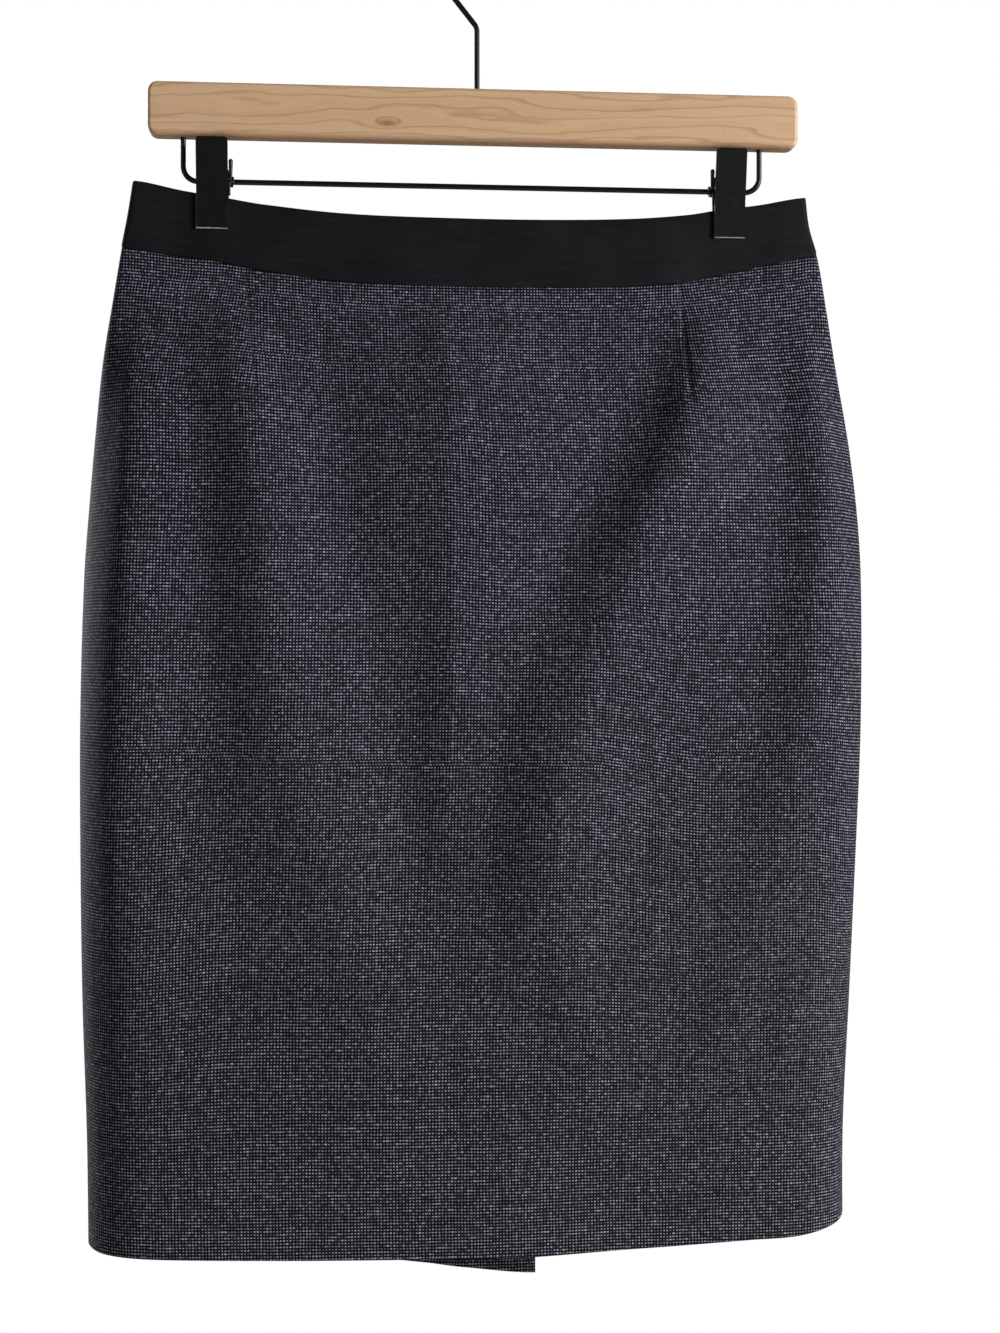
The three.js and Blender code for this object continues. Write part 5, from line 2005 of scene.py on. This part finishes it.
@dataclass
class Skirt:
    """The whole garment's cloth: three panels and three pieces of waistband."""

    front_columns: int = 140
    back_columns: int = 84
    end_columns: int = 8
    centre_columns: int = 14
    panel_rows: int = 190
    band_rows: int = 15
    fold_round: float = 0.8
    band_round: float = 1.0

    def build(self) -> None:
        """Builds all pieces of cloth."""
        for pieces, material in ((self._panels(), Hopsack().material()),
                                 (self._bands(), BandTwill().material())):
            for piece in pieces:
                piece.build(material)

    def _panel(self, name: str, node: str, side: Side, columns: Callable, rows: Array,
               hem: Callable[[Array], Array], cut: Cut, sink: Callable | None = None) -> ClothPiece:
        """Plans one panel of hopsack.

        Args:
            name: The piece's name.
            node: The solid that it stands for.
            side: The front or the back.
            columns: Gives its shares across at each height.
            rows: The shares down of its rows.
            hem: Gives the hem's height at each x.
            cut: Its flat size.
            sink: Gives how far it lies below the outside.

        Returns:
            The piece.
        """
        band = "waistband_front" if side is Side.FRONT else "waistband_back_left"
        if name.endswith("right"):
            band = "waistband_back_right"
        return ClothPiece(
            name=name, node=node, side=side, columns=columns, rows=rows,
            top=lambda band_x: FORM.seam(side, band_x) - SEAM_GAP / 2,
            bottom=lambda band_x, hem_x: hem(hem_x),
            inset=PANEL_INSET, wall=PANEL_WALL, slot="skirt_cloth", cut=cut, rests_on=(band,),
            sink=sink, bottom_round=self.fold_round, grain_sag=0.55)

    def _panels(self) -> list[ClothPiece]:
        """Plans the panels.

        Returns:
            The front panel and the two back panels.
        """
        front = SkirtColumns(self.end_columns, self.front_columns, 0)
        back = SkirtColumns(self.end_columns, self.back_columns, self.centre_columns)
        rows = edge_rows(self.panel_rows, 525, 0, self.fold_round)[4:]
        counts = (52, 64, 66)
        return [
            self._panel("front_cloth", "front_panel", Side.FRONT, front.whole, rows,
                        lambda x: HEM.read("front", x), Cut(0.480, 0.545, 0.244)),
            self._panel("back_cloth_left", "back_panel_left", Side.BACK, back.back_left,
                        back_rows(BACK_HEM_LEFT, counts, self.fold_round),
                        lambda x: HEM.read("back", x), Cut(0.275, 0.548, 0.1255), underlap_sink),
            self._panel("back_cloth_right", "back_panel_right", Side.BACK, back.back_right,
                        back_rows(BACK_HEM_RIGHT, counts, self.fold_round),
                        lambda x: HEM_BACK_RIGHT.read("back", x), Cut(0.236, 0.535, 0.120)),
        ]

    def _bands(self) -> list[ClothPiece]:
        """Plans the waistband.

        Returns:
            Its three pieces.
        """
        front = SkirtColumns(self.end_columns, self.front_columns, 0)
        back = SkirtColumns(self.end_columns, self.back_columns, 0)
        rows = edge_rows(self.band_rows, 38, self.band_round, 0.5)
        clips = ("clip_left_front_jaw", "clip_left_back_jaw", "clip_right_front_jaw",
                 "clip_right_back_jaw")
        plans = (
            ("band_front", "waistband_front", Side.FRONT, front.whole, Cut(0.386, 0.039, 0.0148), clips),
            ("band_back_left", "waistband_back_left", Side.BACK, back.band_left,
             Cut(0.188, 0.039, 0.0071), clips[1:2]),
            ("band_back_right", "waistband_back_right", Side.BACK, back.back_right,
             Cut(0.196, 0.039, 0.0073), clips[3:]),
        )
        return [ClothPiece(
            name=name, node=node, side=side, columns=columns, rows=rows,
            top=lambda band_x, side=side: FORM.edge(side, band_x),
            bottom=lambda band_x, hem_x, side=side: FORM.seam(side, band_x) + SEAM_GAP / 2,
            inset=0.0, wall=BAND_WALL, slot="band_twill", cut=cut, rests_on=on,
            top_round=self.band_round, bottom_round=0.5)
            for name, node, side, columns, cut, on in plans]


# The hanger

BAR_LEFT = -175.9
BAR_RIGHT = 180.3
BAR_TOP = -88.3
BAR_HEIGHT = 29.2
BAR_THICK = 12.0
WIRE_RADIUS = 1.5
HOOK_RADIUS = 20.0
HOOK_SHANK_X = 2.4
HOOK_BEND_Z = -53.5
HOOK_BEND_RADIUS = 7.0
HOOK_DEPTH_IN_BAR = 18.0
HOOK_TIP_ANGLE = -25.0
RAIL_Z = -141.1
RAIL_LEFT = -157.1
RAIL_RIGHT = 159.4
RAIL_BEND_RADIUS = 8.0
RAIL_DEPTH_IN_BAR = 9.0


@dataclass
class Hanger:
    """The maple bar, the wire hook and the wire rail under the bar."""

    corner: float = 5.5
    rim: float = 2.2

    def build(self) -> None:
        """Builds the bar and the two wires."""
        self._bar()
        wire = BlackCoat("black_wire", 0.26).material()
        self._wire("hook_wire", "hanger_hook", self._hook_line(), wire)
        self._wire("rail_wire", "hanger_rail", self._rail_line(), wire)

    def _bar(self) -> None:
        """Builds the wooden bar."""
        bottom = BAR_TOP - BAR_HEIGHT

        def outline(inset: float) -> list[tuple[float, float]]:
            """Returns the bar's outline, moved in by a distance."""
            return rounded_rectangle(BAR_LEFT + inset, bottom + inset, BAR_RIGHT - inset,
                                     BAR_TOP - inset, self.corner - inset)

        points, faces = pillow_plate(outline, -BAR_THICK / 2, BAR_THICK / 2, self.rim)
        piece = new_object("maple_bar", points, faces)
        face_out(piece)
        flat = piece.modifiers.new("flat", "WEIGHTED_NORMAL")
        flat.keep_sharp = True
        dress(piece, Maple().material())
        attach(piece, SKIRT_BODY)
        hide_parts("hanger_bar")
        log.info("maple_bar: %d faces", len(piece.data.polygons))

    def _wire(self, name: str, node: str, line: Array, material: bpy.types.Material) -> None:
        """Builds one wire.

        Args:
            name: The piece's name.
            node: The solid that it stands for.
            line: The points of its middle line.
            material: Its finish.
        """
        points, faces = tube(line, WIRE_RADIUS, 18)
        piece = new_object(name, points, faces)
        face_out(piece)
        dress(piece, material)
        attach(piece, SKIRT_BODY)
        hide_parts(node)
        log.info("%s: %d faces", name, len(piece.data.polygons))

    def _hook_line(self) -> Array:
        """Draws the hook: up the shank, a bend to the left, then round to its tip.

        Returns:
            The points of its middle line.
        """
        centre_z = -(HOOK_RADIUS - WIRE_RADIUS)
        reach = math.hypot(HOOK_SHANK_X, centre_z - HOOK_BEND_Z)
        lean = math.degrees(math.asin(HOOK_RADIUS / reach)
                            + math.atan2(HOOK_SHANK_X, centre_z - HOOK_BEND_Z))
        back = HOOK_BEND_RADIUS * math.tan(math.radians(lean) / 2)
        foot = (HOOK_SHANK_X, BAR_TOP - HOOK_DEPTH_IN_BAR)
        bend = arc((HOOK_SHANK_X - HOOK_BEND_RADIUS, HOOK_BEND_Z - back), HOOK_BEND_RADIUS, 0, lean, 10)
        loop = arc((0, centre_z), HOOK_RADIUS, 180 + lean, HOOK_TIP_ANGLE, 64)
        return self._even([foot, *bend, *loop])

    def _rail_line(self) -> Array:
        """Draws the rail: down out of the bar, along under it, and up again.

        Returns:
            The points of its middle line.
        """
        bottom = BAR_TOP - BAR_HEIGHT
        turn_z = RAIL_Z + RAIL_BEND_RADIUS
        left = arc((RAIL_LEFT + RAIL_BEND_RADIUS, turn_z), RAIL_BEND_RADIUS, 180, 270, 12)
        right = arc((RAIL_RIGHT - RAIL_BEND_RADIUS, turn_z), RAIL_BEND_RADIUS, 270, 360, 12)
        return self._even([(RAIL_LEFT, bottom + RAIL_DEPTH_IN_BAR), *left, *right,
                           (RAIL_RIGHT, bottom + RAIL_DEPTH_IN_BAR)])

    @staticmethod
    def _even(line: Sequence[tuple[float, float]], longest: float = 6.0) -> Array:
        """Divides a line's long steps.

        Args:
            line: The line's points, each as (x, z).
            longest: The longest step that is left.

        Returns:
            The points in space.
        """
        points = [(line[0][0], 0.0, line[0][1])]
        for (ax, az), (bx, bz) in zip(line[:-1], line[1:]):
            count = max(1, math.ceil(math.hypot(bx - ax, bz - az) / longest))
            points += [(mix(ax, bx, i / count), 0.0, mix(az, bz, i / count))
                       for i in range(1, count + 1)]
        return np.array(points)


@dataclass
class Clip:
    """One clip: a front and a back jaw with ears on the rail, and a spring between them."""

    place: str
    jaw_width: float = 17.0
    jaw_thick: float = 1.2
    front_top_z: float = -118.8
    back_top_z: float = -131.0
    bottom_z: float = -167.2
    lean: float = 0.195
    front_corner: float = 1.8
    back_corner: float = 4.0
    knee_out: float = 1.9
    knee_rise: float = 1.0
    grip_drop: float = 6.0
    ear_thick: float = 0.9
    ear_radius: float = 3.6
    front_ear_x: float = 5.4
    back_ear_x: float = 6.9
    spring_wire: float = 0.5
    spring_radius: float = 2.5
    spring_turns: int = 2
    coil_gap: float = 0.08
    coil_start: float = 200.0
    tongue_radius: float = 1.25
    tongue_y: float = -3.6
    tongue_lean: float = 1.6
    tongue_top_z: float = -131.0
    foot_radius: float = 0.62
    foot_y: float = -3.4
    foot_lean: float = 0.8
    foot_end_z: float = -148.5

    FIT_GAP = 0.3
    TONGUE_THINS = 0.35

    def build(self) -> None:
        """Builds the two jaws and the spring."""
        centre = CLIP_CENTRES[self.place]
        # The plates get a painted highlight, a pale grey band, along their lowest edge.
        plate = BlackCoat(f"clip_coat_{self.place}", 0.34, painted_highlight_below=self.bottom_z + 0.35).material()
        self._jaw(Side.FRONT, centre, plate)
        self._jaw(Side.BACK, centre, plate)
        self._spring(centre, 1.0 if self.place == "left" else -1.0)

    def _jaw(self, side: Side, centre: float, material: bpy.types.Material) -> None:
        """Builds one jaw: a bent plate with two ears round the rail.

        Args:
            side: The front or the back.
            centre: The x of the clip's middle.
            material: Its finish.
        """
        front = side is Side.FRONT
        which, facing = side.value, side.facing
        ear_x = self.front_ear_x if front else self.back_ear_x
        top_z = self.front_top_z if front else self.back_top_z
        grip = PINCH_DEPTH + self.FIT_GAP + self.jaw_thick / 2
        knee_out, knee_z = grip + self.knee_out, RAIL_Z + self.knee_rise
        line, insets = rounded_start(smooth_line([
            (facing * (knee_out + self.lean * (top_z - knee_z)), top_z),
            (facing * knee_out, knee_z),
            (facing * grip, RAIL_Z - self.grip_drop),
            (facing * grip, self.bottom_z),
        ]), self.front_corner if front else self.back_corner)
        half = self.jaw_width / 2
        plate = new_object(f"clip_{self.place}_{which}_plate",
                           *strip(line, self.jaw_thick, centre - half, centre + half, insets))
        face_out(plate)
        bevel(plate, 0.32, 3, 50)
        ears = [self._ear(centre + place * ear_x, facing, grip) for place in (-1, 1)]
        wings = joined(f"clip_{self.place}_{which}_ears", ears, smooth=False)
        for piece in (plate, wings):
            dress(piece, material)
            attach(piece, SKIRT_BODY)
        bevel(wings, 0.15, 2, 50)
        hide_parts(f"clip_{self.place}_{which}_jaw")
        log.info("clip_%s_%s: plate and ears", self.place, which)

    def _ear(self, x: float, facing: float, grip: float) -> tuple[Array, list[list[int]]]:
        """Makes one ear: a thin plate from the jaw round the rail, with a hole for it.

        Args:
            x: The x of its middle.
            facing: The sign of Y on the jaw's side.
            grip: How far the jaw's middle lies from the rail's axis.

        Returns:
            The points and the faces.
        """
        outer = [(facing * (grip + self.jaw_thick), RAIL_Z + self.ear_radius)]
        sweep = (90, -90) if facing < 0 else (90, 270)
        outer += arc((0, RAIL_Z), self.ear_radius, sweep[0], sweep[1], 14)
        outer.append((facing * (grip + 0.2), RAIL_Z - self.ear_radius))
        hole_radius = WIRE_RADIUS + self.FIT_GAP / 2
        hole = []
        for y, z in outer:
            length = math.hypot(y, z - RAIL_Z)
            hole.append((y / length * hole_radius, RAIL_Z + (z - RAIL_Z) / length * hole_radius))
        low, high = x - self.ear_thick / 2, x + self.ear_thick / 2
        points = np.array([(place, y, z) for place in (low, high) for y, z in [*outer, *hole]])
        return points, holed_faces(len(outer))

    def _spring(self, centre: float, side: float) -> None:
        """Builds the spring: a coil on the rail beside the jaws, a tongue up and a foot down.

        Args:
            centre: The x of the clip's middle.
            side: The sign of X on which the spring lies.
        """
        start = centre + side * (self.jaw_width / 2 + self.FIT_GAP + self.spring_wire)
        pitch = 2 * self.spring_wire + self.coil_gap
        turns = np.linspace(0, self.spring_turns, self.spring_turns * 20 + 1)
        angles = math.radians(self.coil_start) + turns * 2 * math.pi
        coil = np.stack([start + side * pitch * turns, self.spring_radius * np.cos(angles),
                         RAIL_Z + self.spring_radius * np.sin(angles)], axis=-1)
        tongue_x = start + side * (self.tongue_radius - self.spring_wire)
        tongue = np.array([(tongue_x, self.tongue_y - self.tongue_lean * share,
                            mix(RAIL_Z + 1, self.tongue_top_z, share))
                           for share in np.linspace(1, 0, 10)])
        foot = np.array([(start, self.foot_y + self.foot_lean * share,
                          mix(RAIL_Z - 1, self.foot_end_z, share))
                         for share in np.linspace(0, 1, 6)])
        piece = joined(f"clip_{self.place}_coil", [
            tube(coil, self.spring_wire, 10),
            tube(tongue, self.tongue_radius, 12, lambda share: 1 - self.TONGUE_THINS * share),
            tube(foot, self.foot_radius, 10),
        ])
        dress(piece, BlackCoat(f"spring_steel_{self.place}", 0.24, dark=(0.006, 0.006, 0.0062),
                               rubbed=(0.03, 0.03, 0.031)).material())
        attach(piece, SKIRT_BODY)
        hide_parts(f"clip_{self.place}_spring")
        log.info("clip_%s_coil: %d faces", self.place, len(piece.data.polygons))


# The zip

@dataclass
class Zip:
    """The centre-back zip: tape, coil, slider, pull tab and the stitch rows beside it."""

    tape_width: float = 24.0
    tape_wall: float = 1.0
    tape_past_end: float = 6.0
    tape_clear: float = 0.35
    coil_pitch: float = 1.3
    teeth_below: float = 4.5
    teeth_end: float = 3.0
    tooth_radius: float = 0.42
    slider_drop: float = 8.0
    slider_clear: float = 0.7
    slider_wall: float = 1.2
    crown_radius: float = 2.95
    crown_rise: float = 1.6
    foot_radius: float = 1.95
    foot_drop: float = 2.6
    bridge_half: float = 0.8
    bridge_thick: float = 0.75
    neck_half_height: float = 3.4
    neck_reach: float = 1.6
    arch_hole_height: float = 1.4
    pull_half: float = 2.4
    pull_length: float = 21.0
    pull_thick: float = 1.0
    pull_corner: float = 1.1
    window_half: float = 1.3
    window_foot: float = 4.6
    window_corner: float = 0.45
    stitch_radius: float = 0.19
    stitch_length: float = 2.3
    stitch_pitch: float = 3.1
    stitch_away: float = 6.5
    rows_drop: float = 42.0

    @property
    def top(self) -> float:
        """The height of the waist edge at the centre back."""
        return float(FORM.edge(Side.BACK, np.array(CENTRE_BACK)))

    @property
    def slider_z(self) -> float:
        """The slider's height."""
        return self.top - self.slider_drop

    @property
    def face_y(self) -> float:
        """The back face of the slider's plate."""
        z = np.array([self.slider_z])
        share = FORM.share_at(np.array([CENTRE_BACK]), z)
        return float(FORM.point(Side.BACK, share, z)[0][1]) + self.slider_clear

    def build(self) -> None:
        """Builds the zip and its stitching."""
        metal = DarkMetal().material()
        self._tape()
        self._slider(metal)
        self._pull(metal)
        self._stitches()

    def _at(self, x: Array, z: Array, depth: Array) -> Array:
        """Returns points at a depth below the back's outside."""
        share = FORM.share_at(x, z)
        return FORM.inside(Side.BACK, share, z, depth)[0]

    def _tape(self) -> None:
        """Builds the tape with its closed coil."""
        heights = np.linspace(self.top - 1, ZIP_END_Z - self.tape_past_end, 96)
        half = self.tape_width / 2
        low = BAND_WALL + self.tape_clear
        section = [(-half, low), (-half * 0.5, low), (0, low), (half * 0.5, low), (half, low),
                   (half, low + self.tape_wall), (half * 0.5, low + self.tape_wall),
                   (0, low + self.tape_wall), (-half * 0.5, low + self.tape_wall),
                   (-half, low + self.tape_wall)]
        rings = [self._at(np.array([CENTRE_BACK + x for x, _ in section]), np.full(len(section), z),
                          np.array([depth for _, depth in section])) for z in heights]
        tape = (np.concatenate(rings), stacked_faces(len(rings), len(section)))
        piece = joined("zip_tape_and_coil", [tape, *self._teeth()])
        dress(piece, WovenTape().material())
        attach(piece, SKIRT_BODY)
        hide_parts("zip")
        log.info("zip_tape_and_coil: %d faces", len(piece.data.polygons))

    def _teeth(self) -> Iterable[tuple[Array, list[list[int]]]]:
        """Makes the coil's teeth, left and right in turn, below the slider.

        Returns:
            The points and the faces of each tooth.
        """
        first = self.slider_z - self.teeth_below
        for i in range(int((first - (ZIP_END_Z + self.teeth_end)) / self.coil_pitch)):
            z = first - i * self.coil_pitch
            sign = 1 if i % 2 else -1
            xs = CENTRE_BACK + sign * np.array([-0.45, 0.1, 0.62])
            depth = np.array([0.75, 0.6, 1.5])
            line = self._at(xs, np.full(3, z), depth)
            yield tube(line, self.tooth_radius, 6)

    def _slider(self, metal: bpy.types.Material) -> None:
        """Builds the slider: a waisted plate, a neck and an arch for the tab.

        Args:
            metal: Its finish.
        """
        z0, face = self.slider_z, self.face_y

        def outline(inset: float) -> list[tuple[float, float]]:
            """Draws the plate's outline: wide at the top and narrow at the foot.

            Args:
                inset: How far it is moved in.

            Returns:
                The outline's points.
            """
            crown = arc((CENTRE_BACK, z0 + self.crown_rise), self.crown_radius - inset, -10, 190, 14)
            foot = arc((CENTRE_BACK, z0 - self.foot_drop), self.foot_radius - inset, 200, 340, 10)
            return [*crown, *foot]

        half, tall = self.bridge_half, self.neck_half_height
        plate = pillow_plate(outline, face, face + self.slider_wall, 0.4, 4)
        neck = pillow_plate(lambda inset: rounded_rectangle(
            CENTRE_BACK - half + inset, z0 - tall + inset, CENTRE_BACK + half - inset,
            z0 + tall - inset, 0.5), face - self.slider_clear - self.neck_reach, face + 0.3, 0.1, 2)
        base = face + self.slider_wall
        rise = self.arch_hole_height + 1.15
        line = [(base - 0.3, z0 - 2.9), (base + rise * 0.75, z0 - 2.5), (base + rise, z0 - 1.2),
                (base + rise, z0 + 1.2), (base + rise * 0.75, z0 + 2.5), (base - 0.3, z0 + 2.9)]
        bridge = strip(smooth_line(line), self.bridge_thick, CENTRE_BACK - half, CENTRE_BACK + half)
        piece = joined("zip_slider_body", [plate, neck, bridge])
        bevel(piece, 0.12, 2, 50)
        dress(piece, metal)
        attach(piece, SKIRT_BODY)
        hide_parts("zip_slider")
        log.info("zip_slider_body: %d faces", len(piece.data.polygons))

    def _pull(self, metal: bpy.types.Material) -> None:
        """Builds the pull tab, which hangs from the slider's arch.

        Args:
            metal: Its finish.
        """
        axis_y = self.face_y + self.slider_wall + self.arch_hole_height
        thick = self.pull_thick
        outer = rounded_rectangle(CENTRE_BACK - self.pull_half, self.slider_z - self.pull_length,
                                  CENTRE_BACK + self.pull_half, self.slider_z + thick / 2,
                                  self.pull_corner)
        inner = rounded_rectangle(CENTRE_BACK - self.window_half, self.slider_z - self.window_foot,
                                  CENTRE_BACK + self.window_half, self.slider_z - thick / 2,
                                  self.window_corner)
        points = np.array([(x, axis_y + side * thick / 2, z) for side in (-1, 1)
                           for x, z in [*outer, *inner]])
        piece = new_object("zip_pull_tab", points, holed_faces(len(outer)))
        face_out(piece)
        bevel(piece, 0.22, 3, 40)
        dress(piece, metal)
        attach(piece, PULL_BODY)
        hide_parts("zip_pull")
        log.info("zip_pull_tab: %d faces", len(piece.data.polygons))

    def _stitch(self, start: tuple[float, float], end: tuple[float, float]
                ) -> tuple[Array, list[list[int]]]:
        """Makes one stitch on the back.

        Args:
            start: Where it comes out, as (x, z).
            end: Where it goes in.

        Returns:
            The points and the faces.
        """
        shares = np.linspace(0, 1, 5)
        x = mix(start[0], end[0], shares)
        z = mix(start[1], end[1], shares)
        depth = PANEL_INSET + 0.16 - 0.22 * np.sin(shares * np.pi)
        return tube(self._at(x, z, depth), self.stitch_radius, 6)

    def _stitches(self) -> None:
        """Builds the stitch rows beside the zip, across its foot and along the vent's top."""
        parts = []
        top = self.top - self.rows_drop
        for side in (-1, 1):
            x = CENTRE_BACK + side * self.stitch_away
            for z in np.arange(top, ZIP_END_Z - 2, -self.stitch_pitch):
                parts.append(self._stitch((x, z), (x, z - self.stitch_length)))
        across = np.arange(CENTRE_BACK - self.stitch_away, CENTRE_BACK + self.stitch_away - 2,
                           self.stitch_pitch)
        parts += [self._stitch((x, ZIP_END_Z - 4), (x + self.stitch_length, ZIP_END_Z - 4))
                  for x in across]
        start = np.array([CENTRE_BACK + 1.5, VENT_TOP_Z - 1])
        end = np.array([UNDERLAP_EDGE - 2, VENT_TOP_Z - VENT_SLANT])
        reach = float(np.linalg.norm(end - start))
        for away in np.arange(0, reach - self.stitch_length, self.stitch_pitch):
            near = mix(start, end, away / reach)
            far = mix(start, end, (away + self.stitch_length) / reach)
            parts.append(self._stitch(tuple(near), tuple(far)))
        piece = joined("back_stitches", parts)
        dress(piece, SewingThread().material())
        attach(piece, SKIRT_BODY)
        log.info("back_stitches: %d stitches", len(parts))


# The studio

@dataclass
class Studio:
    """The camera, the light, the pale floor and the white surround."""

    camera_place: tuple[float, float, float] = (-0.0789, -1.0973, -0.4040)
    turn: float = -4.9
    focal_pixels: float = 2006.0
    image_height: float = 1333.0
    sensor: float = 36.0
    cast_colour: tuple[float, float, float, float] = (0.93, 0.96, 1.0, 1.0)
    cast_strength: float = 0.095
    floor_level: float = -1.25
    floor_half: float = 1.2

    def build(self) -> None:
        """Builds all of it."""
        self._camera()
        self._light("key_light", (2.25, -1.32, 0.1), (0.02, 0.0, -0.42), (0.7, 1.0), 82.0)
        self._light("fill_light", (-1.8, -1.8, 0.0), (0.0, 0.0, -0.45), (2.0, 2.0), 6.0)
        self._light("back_light", (-1.6, 1.7, 0.4), (0.0, 0.0, -0.45), (1.4, 1.6), 60.0)
        self._surround()
        self._floor()
        bpy.context.scene.view_settings.view_transform = "Standard"

    def _camera(self) -> None:
        """Makes the camera at the photograph's angle, level."""
        data = bpy.data.cameras.new("camera")
        data.sensor_width = self.sensor
        data.lens = self.focal_pixels / self.image_height * self.sensor
        data.clip_start = 0.05
        camera = bpy.data.objects.new("camera", data)
        camera.location = self.camera_place
        camera.rotation_euler = (math.pi / 2, 0.0, math.radians(self.turn))
        bpy.context.scene.collection.objects.link(camera)
        bpy.context.scene.camera = camera

    def _light(self, name: str, place: tuple[float, float, float], target: tuple[float, float, float],
               size: tuple[float, float], power: float) -> None:
        """Makes one soft area light.

        Args:
            name: Its name.
            place: Where it stands.
            target: What it looks at.
            size: Its width and height.
            power: Its power in watts.
        """
        data = bpy.data.lights.new(name, "AREA")
        data.shape = "RECTANGLE"
        data.size, data.size_y = size
        data.energy = power
        light = bpy.data.objects.new(name, data)
        light.location = place
        aim = Vector(target) - Vector(place)
        light.rotation_euler = aim.to_track_quat("-Z", "Y").to_euler()
        bpy.context.scene.collection.objects.link(light)

    def _surround(self) -> None:
        """Makes the surround: white to look at, and a low even light."""
        world = bpy.data.worlds.new("surround")
        world.use_nodes = True
        nodes, links = world.node_tree.nodes, world.node_tree.links
        nodes.clear()
        output = nodes.new("ShaderNodeOutputWorld")
        seen = nodes.new("ShaderNodeBackground")
        seen.inputs["Strength"].default_value = 1.0
        seen.inputs["Color"].default_value = (1.0, 1.0, 1.0, 1.0)
        cast = nodes.new("ShaderNodeBackground")
        cast.inputs["Color"].default_value = self.cast_colour
        cast.inputs["Strength"].default_value = self.cast_strength
        path = nodes.new("ShaderNodeLightPath")
        choose = nodes.new("ShaderNodeMixShader")
        links.new(path.outputs["Is Camera Ray"], choose.inputs[0])
        links.new(cast.outputs[0], choose.inputs[1])
        links.new(seen.outputs[0], choose.inputs[2])
        links.new(choose.outputs[0], output.inputs["Surface"])
        bpy.context.scene.world = world

    def _floor(self) -> None:
        """Makes the plain pale floor."""
        half, level = self.floor_half / MM, self.floor_level / MM
        corners = np.array([(-half, -half, level), (half, -half, level), (half, half, level),
                            (-half, half, level)])
        floor = new_object("floor", corners, [[0, 1, 2, 3]], smooth=False)
        shader = Shader("pale_floor")
        x, y, _ = shader.position()
        speckle = shader.noise(shader.vector(x, y), 0.02, 3)
        dress(floor, shader.finish(shader.blend(speckle, (0.78, 0.78, 0.77), (0.84, 0.84, 0.83)), 0.8))


def main() -> None:
    """Builds the skirt, its zip and its hanger, then the studio, and notes the sizes."""
    logging.basicConfig(level=logging.INFO, format="%(name)s: %(message)s")
    Skirt().build()
    Zip().build()
    Hanger().build()
    for place in CLIP_CENTRES:
        Clip(place).build()
    Studio().build()
    bpy.context.view_layer.update()


if __name__ == "__main__":
    main()
